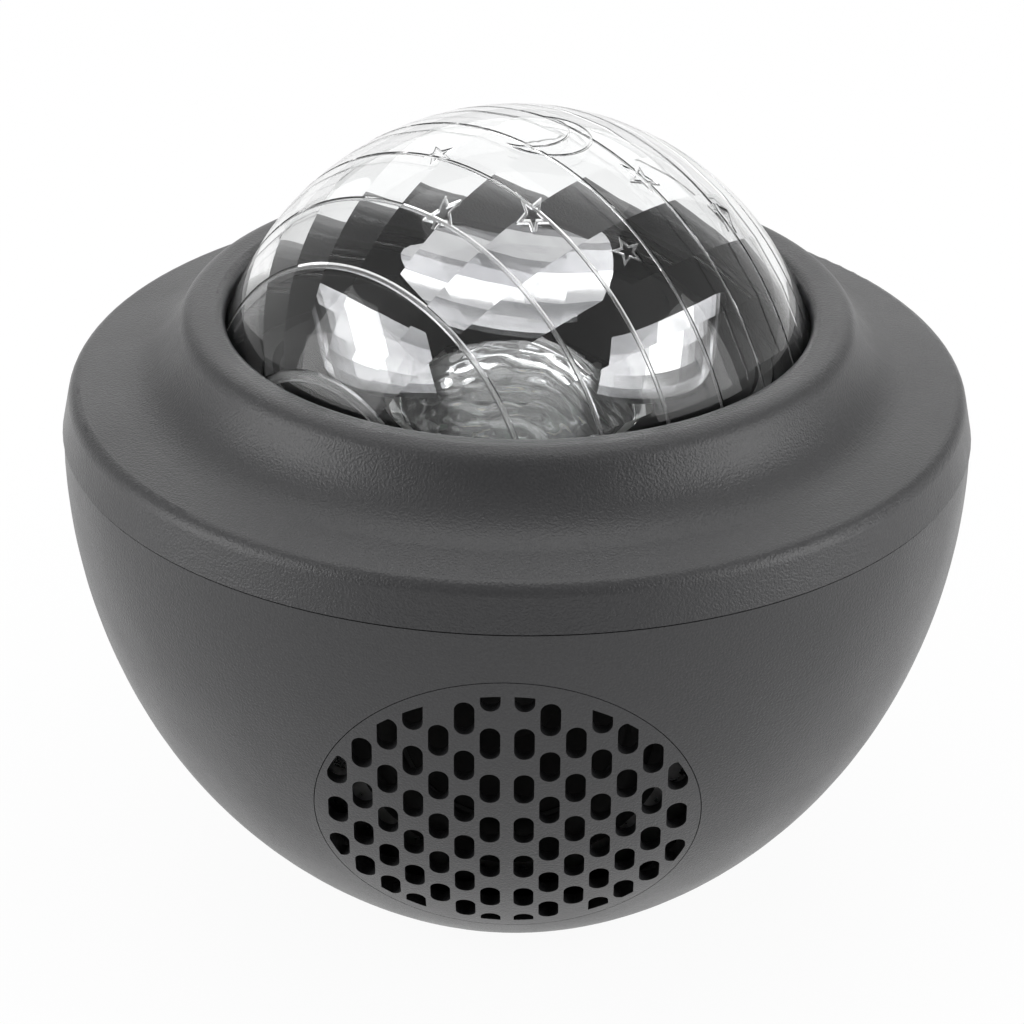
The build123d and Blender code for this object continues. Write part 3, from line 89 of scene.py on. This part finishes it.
# %% [markdown]
# ## The floor
# The lamp stands on a plain white surface. A very strong light would turn the floor white, but it
# would also wash out the charcoal. So the floor simply looks white to the camera, to anything that
# mirrors it and to the clear dome, and its own pale paint shows only in the light it throws back.

# %% Floor
FLOOR_REACH = 6.0
FLOOR_COLOUR = (0.86, 0.86, 0.87, 1)
FLOOR_ROUGHNESS = 0.9
FLOOR_SHOWN = 0.94


def link(tree, source, target):
    """Joins two sockets of a node tree."""
    tree.links.new(source, target)


def seen_directly(tree, rays):
    """Socket that is 1 for what the camera looks at, or the given other kinds of ray, and otherwise 0."""
    path = tree.nodes.new("ShaderNodeLightPath")
    total = path.outputs["Is Camera Ray"]
    for ray in rays:
        either = tree.nodes.new("ShaderNodeMath")
        either.operation = "MAXIMUM"
        link(tree, total, either.inputs[0])
        link(tree, path.outputs[ray], either.inputs[1])
        total = either.outputs[0]
    return total


floor_mesh = bpy.data.meshes.new("floor")
corners = [(-FLOOR_REACH, -FLOOR_REACH, 0), (FLOOR_REACH, -FLOOR_REACH, 0),
           (FLOOR_REACH, FLOOR_REACH, 0), (-FLOOR_REACH, FLOOR_REACH, 0)]
floor_mesh.from_pydata(corners, [], [(0, 1, 2, 3)])
floor = bpy.data.objects.new("floor", floor_mesh)
scene.collection.objects.link(floor)

floor_finish = bpy.data.materials.new("floor_white")
floor_finish.use_nodes = True
tree = floor_finish.node_tree
paint = tree.nodes["Principled BSDF"]
paint.inputs["Base Color"].default_value = FLOOR_COLOUR
paint.inputs["Roughness"].default_value = FLOOR_ROUGHNESS
glow = tree.nodes.new("ShaderNodeEmission")
blend = tree.nodes.new("ShaderNodeMixShader")
share = tree.nodes.new("ShaderNodeMath")
share.operation = "MULTIPLY"
share.inputs[1].default_value = FLOOR_SHOWN
link(tree, seen_directly(tree, ("Is Glossy Ray", "Is Transmission Ray")), share.inputs[0])
link(tree, share.outputs[0], blend.inputs["Fac"])
link(tree, paint.outputs[0], blend.inputs[1])
link(tree, glow.outputs[0], blend.inputs[2])
link(tree, blend.outputs[0], tree.nodes["Material Output"].inputs["Surface"])
floor.data.materials.append(floor_finish)
print("floor", FLOOR_REACH * 2, "m across")

# %% [markdown]
# ## The sky
# The world is the studio's white walls. They are darker in front, where the camera stands, so that the
# front of the bowl stays deep. A dome of lights could do the same, but a soft step across the world
# costs nothing and leaves no hot spots. Seen straight on or through clear plastic, the walls are white.

# %% Sky
SKY_FRONT = 0.33
SKY_ROUND = 0.55
FRONT_EDGE = -0.45

world = bpy.data.worlds.new("studio")
world.use_nodes = True
scene.world = world
tree = world.node_tree
sky = tree.nodes["Background"]
sky.inputs["Color"].default_value = (1, 1, 1, 1)
place = tree.nodes.new("ShaderNodeTexCoord")
split = tree.nodes.new("ShaderNodeSeparateXYZ")
link(tree, place.outputs["Generated"], split.inputs[0])
round_about = tree.nodes.new("ShaderNodeMapRange")
round_about.interpolation_type = "SMOOTHSTEP"
round_about.inputs["From Min"].default_value = -1.0
round_about.inputs["From Max"].default_value = FRONT_EDGE
round_about.inputs["To Min"].default_value = SKY_FRONT
round_about.inputs["To Max"].default_value = SKY_ROUND
link(tree, split.outputs["Y"], round_about.inputs["Value"])
white = tree.nodes.new("ShaderNodeMix")
white.inputs["B"].default_value = 1.0
link(tree, seen_directly(tree, ("Is Transmission Ray",)), white.inputs["Factor"])
link(tree, round_about.outputs[0], white.inputs["A"])
link(tree, white.outputs[0], sky.inputs["Strength"])
print("sky", SKY_FRONT, "in front and", SKY_ROUND, "elsewhere")

# %% [markdown]
# ## The soft boxes
# Charcoal shows its shape by what it mirrors. A wide box overhead and a panel behind give the sheen on
# the slope and the collar, and two panels at the sides draw the edges of the bowl. Small lamps would
# be brighter for their power, but they leave hard spots on the dome and blow out the bright petals.

# %% Soft boxes
SOFT_BOXES = [
    # name, place, aim, size, watts
    ("overhead_box", (0, 0.3, 1.15), (0, 0, 0.1), (1.2, 0.7), 4.4),
    ("back_panel", (0, 1.7, 1.0), (0, 0, 0.1), (2.4, 1.0), 9),
    ("side_panel_left", (-0.9, -0.25, 0.35), (0, 0, 0.06), (0.7, 0.8), 5.5),
    ("side_panel_right", (0.9, -0.25, 0.35), (0, 0, 0.06), (0.7, 0.8), 5.5),
]

for name, place, aim, size, power in SOFT_BOXES:
    lamp = bpy.data.objects.new(name, bpy.data.lights.new(name, "AREA"))
    lamp.data.shape = "RECTANGLE"
    lamp.data.size, lamp.data.size_y = size
    lamp.data.energy = power
    lamp.location = place
    lamp.rotation_mode = "QUATERNION"
    lamp.rotation_quaternion = (Vector(aim) - Vector(place)).to_track_quat("-Z", "Y")
    scene.collection.objects.link(lamp)
    print(name, power, "W")

# %% [markdown]
# ## Finishes
# Each finish is a small node tree. Grain comes from noise in the object's own coordinates, so it keeps
# its real size in metres and stays on the piece when a joint moves. A photograph could be wrapped on
# instead, but that would need a flat layout for every piece and blurs close up.

# %% Finish helpers
NOISE_LOW = 0.3
NOISE_HIGH = 0.7


def new_finish(name, colour, roughness, metallic=0.0):
    """Material with its Principled shader set to plain values, ready for detail."""
    finish = bpy.data.materials.new(name)
    finish.use_nodes = True
    shader = finish.node_tree.nodes["Principled BSDF"]
    shader.inputs["Base Color"].default_value = (*colour, 1)
    shader.inputs["Roughness"].default_value = roughness
    shader.inputs["Metallic"].default_value = metallic
    return finish, finish.node_tree, shader


def pattern(tree, scale, detail=2.0, stretch=None):
    """Noise at a scale in waves per metre, drawn out along an axis where stretch says so."""
    place = tree.nodes.new("ShaderNodeTexCoord")
    texture = tree.nodes.new("ShaderNodeTexNoise")
    texture.inputs["Scale"].default_value = scale
    texture.inputs["Detail"].default_value = detail
    source = place.outputs["Object"]
    if stretch:
        mapping = tree.nodes.new("ShaderNodeMapping")
        mapping.inputs["Scale"].default_value = stretch
        link(tree, source, mapping.inputs["Vector"])
        source = mapping.outputs[0]
    link(tree, source, texture.inputs["Vector"])
    return texture.outputs["Fac"]


def shade(tree, factor, dark, light, low=0.35, high=0.65):
    """Colour that runs from dark to light as the factor goes from low to high."""
    ramp = tree.nodes.new("ShaderNodeValToRGB")
    ramp.color_ramp.elements[0].position = low
    ramp.color_ramp.elements[0].color = (*dark, 1)
    ramp.color_ramp.elements[1].position = high
    ramp.color_ramp.elements[1].color = (*light, 1)
    link(tree, factor, ramp.inputs["Fac"])
    return ramp.outputs["Color"]


def spread(tree, factor, low, high):
    """Number that runs from low to high with a noise factor."""
    remap = tree.nodes.new("ShaderNodeMapRange")
    remap.inputs["From Min"].default_value = NOISE_LOW
    remap.inputs["From Max"].default_value = NOISE_HIGH
    remap.inputs["To Min"].default_value = low
    remap.inputs["To Max"].default_value = high
    link(tree, factor, remap.inputs["Value"])
    return remap.outputs[0]


def relief(tree, shader, height, depth):
    """Bump of a real depth in metres on a shader."""
    bump = tree.nodes.new("ShaderNodeBump")
    bump.inputs["Distance"].default_value = depth
    bump.inputs["Strength"].default_value = 1.0
    link(tree, height, bump.inputs["Height"])
    link(tree, bump.outputs[0], shader.inputs["Normal"])


def mottled(name, dark, light, scale, roughness, grain_scale, grain_depth, metallic=0.0, stretch=None):
    """Finish with a cloudy colour, a roughness that follows it and a fine grain."""
    finish, tree, shader = new_finish(name, light, roughness[0], metallic)
    cloud = pattern(tree, scale, 3.0, stretch)
    link(tree, shade(tree, cloud, dark, light), shader.inputs["Base Color"])
    link(tree, spread(tree, cloud, *roughness), shader.inputs["Roughness"])
    relief(tree, shader, pattern(tree, grain_scale, 2.0, stretch), grain_depth)
    return finish


print("noise is read from", NOISE_LOW, "to", NOISE_HIGH)

# %% [markdown]
# ## Opaque finishes
# The casing has the sandy grain that spark erosion leaves in a mould. It is fine, about half a
# millimetre, and breaks the sheen on the collar into tiny glints. The other plastics, metals and papers
# differ only in colour, cloudiness, roughness and grain, so one function with a row of values makes each.

# %% Opaque finishes
CASING_GRAIN = 2400
CASING_GRAIN_DEPTH = 0.00014
CASING_CLOUD = 60
BLACK_GLOSS = 0.05


def spark_eroded(name, dark, light, roughness):
    """Moulded casing with the sandy grain of a spark-eroded mould."""
    finish, tree, shader = new_finish(name, light, roughness[0])
    grain = pattern(tree, CASING_GRAIN, 3.0)
    link(tree, shade(tree, grain, dark, light, NOISE_LOW, NOISE_HIGH), shader.inputs["Base Color"])
    link(tree, spread(tree, pattern(tree, CASING_CLOUD, 3.0), *roughness), shader.inputs["Roughness"])
    relief(tree, shader, grain, CASING_GRAIN_DEPTH)
    return finish


finishes = {
    "casing_plastic": spark_eroded(
        "charcoal_grain", (0.0235, 0.0235, 0.025), (0.034, 0.034, 0.0355), (0.30, 0.38)),
    "button_plastic": mottled(
        "button_charcoal", (0.030, 0.030, 0.032), (0.040, 0.040, 0.042), 90, (0.35, 0.45), 2600, 0.00003),
    "black_plastic": mottled(
        "black_satin", (0.002, 0.002, 0.002), (0.004, 0.004, 0.004), 80, (0.30, 0.40), 900, 0.00001),
    "white_plastic": mottled(
        "white_moulding", (0.66, 0.66, 0.64), (0.74, 0.74, 0.72), 80, (0.35, 0.45), 1500, 0.00002),
    "bright_plastic": mottled(
        "petal_chrome", (0.48, 0.48, 0.49), (0.68, 0.68, 0.69), 60, (0.10, 0.16), 300, 0.00002, 1.0),
    "rubber": mottled(
        "foot_rubber", (0.012, 0.012, 0.012), (0.022, 0.022, 0.021), 200, (0.7, 0.9), 1800, 0.00005),
    "board_laminate": mottled(
        "board_green", (0.008, 0.055, 0.022), (0.014, 0.085, 0.035), 260, (0.3, 0.4), 900, 0.00003),
    "light_chip": mottled(
        "chip_cream", (0.72, 0.62, 0.30), (0.82, 0.76, 0.50), 900, (0.3, 0.5), 2500, 0.00002),
    "fin_aluminium": mottled(
        "fin_aluminium", (0.55, 0.56, 0.58), (0.68, 0.69, 0.70), 300, (0.3, 0.42), 1500, 0.00002,
        1.0, (1, 6, 1)),
    "steel": mottled(
        "bright_steel", (0.45, 0.45, 0.46), (0.60, 0.60, 0.60), 400, (0.25, 0.4), 1800, 0.00001, 1.0),
    "magnet_ferrite": mottled(
        "ferrite_black", (0.020, 0.020, 0.022), (0.040, 0.040, 0.042), 350, (0.5, 0.7), 1600, 0.00004),
    "cone_paper": mottled(
        "cone_paper", (0.010, 0.010, 0.010), (0.022, 0.021, 0.020), 500, (0.7, 0.9), 1400, 0.00006),
    "coil_copper": mottled(
        "coil_copper", (0.60, 0.26, 0.12), (0.80, 0.40, 0.22), 300, (0.25, 0.4), 2000, 0.00003,
        1.0, (1, 12, 1)),
}
black_shader = finishes["black_plastic"].node_tree.nodes["Principled BSDF"]
black_shader.inputs["Specular IOR Level"].default_value = BLACK_GLOSS
print("opaque finishes", sorted(finishes))

# %% [markdown]
# ## Clear plastic
# The ripple lens and the small lenses over the lights are clear plastic with a faint waviness. A trace
# of milkiness makes the ripples catch the light where a perfectly clear lens would vanish.

# %% Clear plastic
CLEAR_INDEX = 1.49
CLEAR_SHARE = 0.93
CLEAR_WAVES = 900
CLEAR_WAVE_DEPTH = 0.00002

ripple_clear, tree, shader = new_finish("ripple_clear", (0.97, 0.98, 0.98), 0.02)
shader.inputs["Transmission Weight"].default_value = CLEAR_SHARE
shader.inputs["IOR"].default_value = CLEAR_INDEX
relief(tree, shader, pattern(tree, CLEAR_WAVES, 1.0), CLEAR_WAVE_DEPTH)
finishes["clear_plastic"] = ripple_clear
print("clear share", CLEAR_SHARE)

# %% [markdown]
# ## The dome's sphere
# The dome is smooth outside, apart from engraved lines and stars, and has lens bands inside. To treat
# these apart, the finish must know where on the dome it is. Painted masks would do it, but the distance
# from the middle of the dome's sphere tells the same from the shape alone. Maths nodes measure it.

# %% Dome helpers
DOME_R = 0.05304
BAND_DEPTH = 0.0008
dome_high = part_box("dome_lens")[1]
dome_middle = (0, 0, dome_high.z - DOME_R)


def fill_step(tree, step, sources):
    """Links or sets the inputs of a maths node in turn."""
    for source, socket in zip(sources, step.inputs):
        if isinstance(source, bpy.types.NodeSocket):
            link(tree, source, socket)
        else:
            socket.default_value = source


def vector_step(tree, operation, *sources):
    """Vector Math node with its inputs linked or set in turn."""
    step = tree.nodes.new("ShaderNodeVectorMath")
    step.operation = operation
    fill_step(tree, step, sources)
    return step


def number_step(tree, operation, *sources):
    """Output of a Math node with its inputs linked or set in turn."""
    step = tree.nodes.new("ShaderNodeMath")
    step.operation = operation
    fill_step(tree, step, sources)
    return step.outputs[0]


def from_middle(tree, place):
    """Vector from the middle of the dome's sphere to the shaded point."""
    return vector_step(tree, "SUBTRACT", place.outputs["Object"], dome_middle).outputs["Vector"]


print("dome middle", round(dome_middle[2] * 1000, 2), "mm high")

# %% [markdown]
# ## Softer lens bands
# Two layers of bands, near and far, would break the view of the petals into a chequerboard. Remodelling
# the dome would change its real shape, so only its shading is eased: inside, each normal is turned
# towards that of a plain round shell, about a third of the way at the front and fully at the back.

# %% Dome normals
FRONT_SOFT = 0.35
BACK_SOFT = 1.0
SOFT_BLEND = 0.012


def soften_bands(tree, place, reach):
    """Normals inside the dome, turned towards a round shell's by a share that grows to the back."""
    radial = vector_step(tree, "NORMALIZE", from_middle(tree, place)).outputs["Vector"]
    facing = vector_step(tree, "DOT_PRODUCT", place.outputs["Normal"], radial).outputs["Value"]
    smooth = vector_step(tree, "SCALE", radial)
    link(tree, number_step(tree, "SIGN", facing), smooth.inputs["Scale"])
    split = tree.nodes.new("ShaderNodeSeparateXYZ")
    link(tree, place.outputs["Object"], split.inputs[0])
    amount = tree.nodes.new("ShaderNodeMapRange")
    amount.interpolation_type = "SMOOTHSTEP"
    amount.inputs["From Min"].default_value = -SOFT_BLEND
    amount.inputs["From Max"].default_value = SOFT_BLEND
    amount.inputs["To Min"].default_value = FRONT_SOFT
    amount.inputs["To Max"].default_value = BACK_SOFT
    link(tree, split.outputs["Y"], amount.inputs["Value"])
    inside = number_step(tree, "LESS_THAN", reach, DOME_R - BAND_DEPTH)
    turned = tree.nodes.new("ShaderNodeMix")
    turned.data_type = "VECTOR"
    # A Mix node keeps a set of sockets for each kind of data: 4, 5 and output 1 are the vectors.
    link(tree, number_step(tree, "MULTIPLY", amount.outputs[0], inside), turned.inputs[0])
    link(tree, place.outputs["Normal"], turned.inputs[4])
    link(tree, smooth.outputs["Vector"], turned.inputs[5])
    return vector_step(tree, "NORMALIZE", turned.outputs[1]).outputs["Vector"]


print("bands softened", FRONT_SOFT, "in front and", BACK_SOFT, "at the back")

# %% [markdown]
# ## The dome's finish
# The engraving lies a little below the sphere and is lightly frosted, as a cut line is. The index is set
# below that of real acrylic, which would mirror more of the room and grey the black under the dome.
# Then every CAD node takes the finish that its slot names.

# %% Dome finish
DOME_INDEX = 1.30
ENGRAVING_TOP = 0.00013
ENGRAVING_FROST = 0.25
ENGRAVING_HAZE = 0.12

dome_clear, tree, shader = new_finish("dome_clear", (0.98, 0.985, 0.985), 0.0)
shader.inputs["Transmission Weight"].default_value = 1.0
shader.inputs["IOR"].default_value = DOME_INDEX
place = tree.nodes.new("ShaderNodeTexCoord")
reach = vector_step(tree, "LENGTH", from_middle(tree, place)).outputs["Value"]
link(tree, soften_bands(tree, place, reach), shader.inputs["Normal"])
engraving = number_step(tree, "MULTIPLY", number_step(tree, "LESS_THAN", reach, DOME_R - ENGRAVING_TOP),
                        number_step(tree, "GREATER_THAN", reach, DOME_R - BAND_DEPTH))
haze = number_step(tree, "MULTIPLY", engraving, ENGRAVING_HAZE)
link(tree, number_step(tree, "MULTIPLY", engraving, ENGRAVING_FROST), shader.inputs["Roughness"])
link(tree, number_step(tree, "SUBTRACT", 1.0, haze), shader.inputs["Transmission Weight"])

for node in nodes.values():
    node.material_slots[0].material = finishes[node.material_slots[0].material.name]
nodes["dome_lens"].material_slots[0].material = dome_clear
print("finishes on", len(nodes), "nodes")

# %% [markdown]
# ## The petals' form
# Under the dome lies a black funnel with three bright scallops round the ripple lens. They are pressed
# like shells: strips fan out from a foot and end in a round lip. The CAD funnel gives the place and the
# size. A sculpted mesh would do, but a scallop is a simple map from a flat grid: one number runs out
# along the petal, the other across it.

# %% Petal form
PETAL_FOOT_R = 0.0150
PETAL_TIP_R = 0.0350
PETAL_FOOT_HALF = 0.0120
PETAL_HALF = 0.0195
PETAL_WIDEST = 0.62
PETAL_CUP = 0.0022
PETAL_CLEAR = 0.0012
PETAL_TOP = 0.0095
PETAL_EASE = 0.9
PETAL_CURL = 1.5
SHEET = 0.0009

dish_low, dish_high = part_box("reflector_dish")
ripple_low, ripple_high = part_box("ripple_lens")
cap_drop = (ripple_high.z - ripple_low.z) * (PETAL_FOOT_R / ripple_high.x)**2
petal_foot_z = ripple_high.z - cap_drop + PETAL_CLEAR + SHEET
petal_tip_z = dish_high.z + PETAL_TOP


def petal_half_width(v):
    """Half width of a petal at a share v of its length."""
    if v < PETAL_WIDEST:
        return PETAL_FOOT_HALF + (PETAL_HALF - PETAL_FOOT_HALF) * math.sin(v / PETAL_WIDEST * math.pi / 2)
    past = (v - PETAL_WIDEST) / (1 - PETAL_WIDEST)
    return PETAL_HALF * math.sqrt(max(0.0, 1 - past**2))


def petal_point(u, v, turn):
    """Place on a petal: u from -1 to 1 across it, v from its foot at 0 to its tip at 1."""
    out = PETAL_FOOT_R + (PETAL_TIP_R - PETAL_FOOT_R) * math.sin(v * math.pi / 2)**PETAL_EASE
    across = u * petal_half_width(v)
    radius = math.hypot(out, across)
    cup = PETAL_CUP * u * u * math.sin(math.pi * min(1.0, v * 0.8 + 0.2))
    height = petal_foot_z + (petal_tip_z - petal_foot_z) * v**PETAL_CURL + cup
    angle = math.radians(turn) + math.atan2(across, out)
    return (radius * math.cos(angle), radius * math.sin(angle), height)


print("petals from", round(petal_foot_z * 1000, 1), "to", round(petal_tip_z * 1000, 1), "mm high")

# %% [markdown]
# ## Making the meshes
# A petal is a thin sheet, so it needs an upper face, a lower face and a rim. A modifier could thicken a
# single surface, but building both sides at once keeps the mesh closed and the thickness exact. Bands
# across the petal take turns between the bright chrome and a darker copy of it. The darker copy is painted
# shade, standing in for the light and dark that the steps of a pressed shell would mirror.

# %% Mesh helpers
PETAL_STRIPS = 5
PETAL_STEPS = 18
PETAL_BAND = 4


def lathe(mesh, profile, steps, material):
    """Adds a closed profile, spun about the lamp's axis, to a mesh in the making."""
    rings = []
    for step in range(steps):
        angle = 2 * math.pi * step / steps
        rings.append([mesh.verts.new((r * math.cos(angle), r * math.sin(angle), z)) for r, z in profile])
    for step in range(steps):
        here, there = rings[step], rings[(step + 1) % steps]
        for index in range(len(profile)):
            after = (index + 1) % len(profile)
            face = mesh.faces.new((here[index], there[index], there[after], here[after]))
            face.smooth = True
            face.material_index = material


def petal_sheet(mesh, turn, drop):
    """Rows of points on a petal, lowered by a drop, and the point at its tip."""
    rows = []
    for row in range(PETAL_STEPS):
        points = [petal_point(-1 + 2 * column / PETAL_STRIPS, row / PETAL_STEPS, turn)
                  for column in range(PETAL_STRIPS + 1)]
        rows.append([mesh.verts.new((x, y, z - drop)) for x, y, z in points])
    x, y, z = petal_point(0, 1.0, turn)
    return rows, mesh.verts.new((x, y, z - drop))


def add_petal(mesh, turn, band_materials):
    """Adds one scalloped petal, a sheet with an upper and a lower face, to a mesh in the making."""
    sides = [petal_sheet(mesh, turn, drop) for drop in (0.0, SHEET)]
    for (rows, tip), upper in zip(sides, (True, False)):
        for column in range(PETAL_STRIPS):
            quads = [(rows[row][column], rows[row + 1][column],
                      rows[row + 1][column + 1], rows[row][column + 1])
                     for row in range(PETAL_STEPS - 1)]
            quads.append((rows[-1][column], tip, rows[-1][column + 1]))
            for row, corners in enumerate(quads):
                face = mesh.faces.new(corners[::-1] if upper else corners)
                face.smooth = True
                face.material_index = band_materials[row // PETAL_BAND % len(band_materials)]
    top_rim, low_rim = [
        [row[0] for row in rows] + [tip] + [row[-1] for row in reversed(rows)]
        + [rows[0][column] for column in range(PETAL_STRIPS - 1, 0, -1)]
        for rows, tip in sides]
    for index in range(len(top_rim)):
        after = (index + 1) % len(top_rim)
        face = mesh.faces.new((top_rim[index], top_rim[after], low_rim[after], low_rim[index]))
        face.material_index = band_materials[0]


def add_piece(name, mesh, materials, body, replaced, crease):
    """Turns a mesh in the making into a piece that rides on a body in place of CAD nodes."""
    bmesh.ops.recalc_face_normals(mesh, faces=mesh.faces)
    data = bpy.data.meshes.new(name)
    mesh.to_mesh(data)
    mesh.free()
    data.set_sharp_from_angle(angle=math.radians(crease))
    piece = bpy.data.objects.new(name, data)
    scene.collection.objects.link(piece)
    for material in materials:
        data.materials.append(material)
    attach(piece, body)
    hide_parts(*replaced)
    print(name, len(data.polygons), "faces on", body)


print("a petal has", PETAL_STRIPS, "strips of", PETAL_STEPS, "steps")

# %% [markdown]
# ## The petal reflector
# The funnel is turned on a lathe from its profile, and the petals stand in it. The edges between strips
# are marked sharp, so each strip mirrors its own slice of the room.

# %% Petal reflector
PETAL_TURNS = (95, 186, -6)
PETAL_CREASE = 3
FUNNEL_STEPS = 192
FUNNEL_FOOT_R = 0.02325
FUNNEL_LIP_IN = 0.0030
FUNNEL_STEP = 0.0008
FUNNEL_WALL = SHEET * 1.5
RIM_W = 0.0022
RIM_T = 0.0011
RIM_ROUND = 0.0002

# Darker copy of the petal chrome: painted shade on every other band of a petal, in place of mirrored light
# and dark.
petal_painted_shade = mottled(
    "petal_painted_shade", (0.24, 0.24, 0.25), (0.38, 0.38, 0.39), 60, (0.12, 0.2), 300, 0.00002, 1.0)
dish_rim_r = dish_high.x
funnel_foot_z = dish_low.z + FUNNEL_STEP
funnel_lip_r, funnel_lip_z = dish_rim_r - FUNNEL_LIP_IN, dish_high.z - FUNNEL_STEP
funnel_profile = [
    (FUNNEL_FOOT_R, funnel_foot_z),
    (funnel_lip_r, funnel_lip_z),
    (dish_rim_r - RIM_W, dish_high.z),
    (dish_rim_r - RIM_ROUND, dish_high.z),
    (dish_rim_r, dish_high.z - RIM_ROUND),
    (dish_rim_r, dish_high.z - RIM_T),
    (funnel_lip_r, funnel_lip_z - FUNNEL_WALL),
    (FUNNEL_FOOT_R, funnel_foot_z - FUNNEL_WALL + FUNNEL_STEP),
]
reflector = bmesh.new()
lathe(reflector, funnel_profile, FUNNEL_STEPS, 1)
# Each petal's bands take turns between slot 2, the painted-shade chrome, and slot 0, the bright chrome.
for turn in PETAL_TURNS:
    add_petal(reflector, turn, (2, 0))
add_piece("petal_reflector", reflector, [finishes["bright_plastic"], finishes["black_plastic"], petal_painted_shade],
          "housing", ["reflector_dish"], PETAL_CREASE)

# %% [markdown]
# ## The ripple lens's waves
# A small clear dome with a watery skin turns over the lights and makes the projected sky swim. Its
# waves could be a bump in the material, but they bend the light and show against the black funnel, so
# they are real here. Two crossing waves, pushed about by noise, look like water; noise alone looks like
# gravel. Plain noise at a fixed place gives the same waves on every run.

# %% Ripple waves
WAVE_DEPTH = 0.0005
LONG_WAVE = 1900
CROSS_WAVE = 1000
DRIFT_SCALE = 90
DRIFT_LAYERS = (3.7, 8.1, 12.9)
FINE_SCALE = (500, 900)
RIPPLE_RIM_W = 0.002
RIPPLE_RIM_H = 0.0015

ripple_rim_r = ripple_high.x
ripple_r = ripple_rim_r - RIPPLE_RIM_W
ripple_foot_z = ripple_low.z + RIPPLE_RIM_H
ripple_rise = ripple_high.z - WAVE_DEPTH - ripple_foot_z


def wave(x, y):
    """Height of the watery skin at a plan point, from -1 to 1."""
    drift = [noise.noise(Vector((x * DRIFT_SCALE, y * DRIFT_SCALE, layer))) for layer in DRIFT_LAYERS]
    long_wave = math.sin((y * 0.9 + x * 0.25) * LONG_WAVE + 4.5 * drift[0] + 3.0 * drift[1])
    cross_wave = math.sin((y - 0.8 * x) * CROSS_WAVE + 4.0 * drift[2])
    fine = noise.noise(Vector((x * FINE_SCALE[0], y * FINE_SCALE[1], 1.3)))
    return 0.5 * long_wave + 0.3 * cross_wave + 0.2 * fine


def cap_height(radius, drop):
    """Height of the smooth cap under the waves, or of its underside a drop below."""
    return ripple_foot_z + ripple_rise * (1 - (radius / ripple_r)**2) - drop


print("ripple lens rises", round(ripple_rise * 1000, 1), "mm above its rim")

# %% [markdown]
# ## The ripple lens's mesh
# A polar grid suits a round lens: its points get closer towards the middle, and its edge is a true
# circle. The waves fade out before the edge, so that the rim stays round and sits flat on the gear.

# %% Ripple lens
RIPPLE_RINGS = 64
RIPPLE_SPOKES = 144
RIPPLE_WALL = 0.0014
RIPPLE_FADE = 0.0015
RIPPLE_CREASE = 50


def ring_of_points(mesh, radius, height):
    """Ring of points about the lamp's axis, each at the height that a function gives for its place."""
    points = []
    for spoke in range(RIPPLE_SPOKES):
        angle = 2 * math.pi * spoke / RIPPLE_SPOKES
        x, y = radius * math.cos(angle), radius * math.sin(angle)
        points.append(mesh.verts.new((x, y, height(x, y))))
    return points


def ripple_sheet(mesh, drop, depth):
    """Middle point and rings of a cap, lowered by a drop, with waves of a depth that fade at its edge."""
    middle = mesh.verts.new((0, 0, cap_height(0, drop) + depth * wave(0, 0)))
    rings = []
    for ring in range(1, RIPPLE_RINGS + 1):
        radius = ripple_r * ring / RIPPLE_RINGS
        lift = depth * min(1.0, (ripple_r - radius) / RIPPLE_FADE)
        base = cap_height(radius, drop)
        rings.append(ring_of_points(mesh, radius, lambda x, y: max(ripple_low.z, base + lift * wave(x, y))))
    return middle, rings


ripple = bmesh.new()
sheets = [ripple_sheet(ripple, 0.0, WAVE_DEPTH), ripple_sheet(ripple, RIPPLE_WALL, 0.0)]
for (middle, rings), upper in zip(sheets, (True, False)):
    for spoke in range(RIPPLE_SPOKES):
        beside = (spoke + 1) % RIPPLE_SPOKES
        faces = [(middle, rings[0][spoke], rings[0][beside])]
        faces += [(inner[spoke], outer[spoke], outer[beside], inner[beside])
                  for inner, outer in zip(rings, rings[1:])]
        for corners in faces:
            ripple.faces.new(corners if upper else corners[::-1]).smooth = True
loops = [sheets[0][1][-1]]
for rim_z in (ripple_foot_z, ripple_low.z):
    loops.append(ring_of_points(ripple, ripple_rim_r, lambda x, y: rim_z))
loops.append(sheets[1][1][-1])
for above, below in zip(loops, loops[1:]):
    for spoke in range(RIPPLE_SPOKES):
        beside = (spoke + 1) % RIPPLE_SPOKES
        ripple.faces.new((above[spoke], below[spoke], below[beside], above[beside])).smooth = True
add_piece("ripple_skin", ripple, [ripple_clear],
          "ripple_rotor", ["ripple_lens"], RIPPLE_CREASE)

# %% [markdown]
# ## The view
# The dressed lamp must stay within the CAD box. The Standard view shows the colours as they were
# set, where a film look would shift them.

# %% Finish
scene.view_settings.view_transform = "Standard"
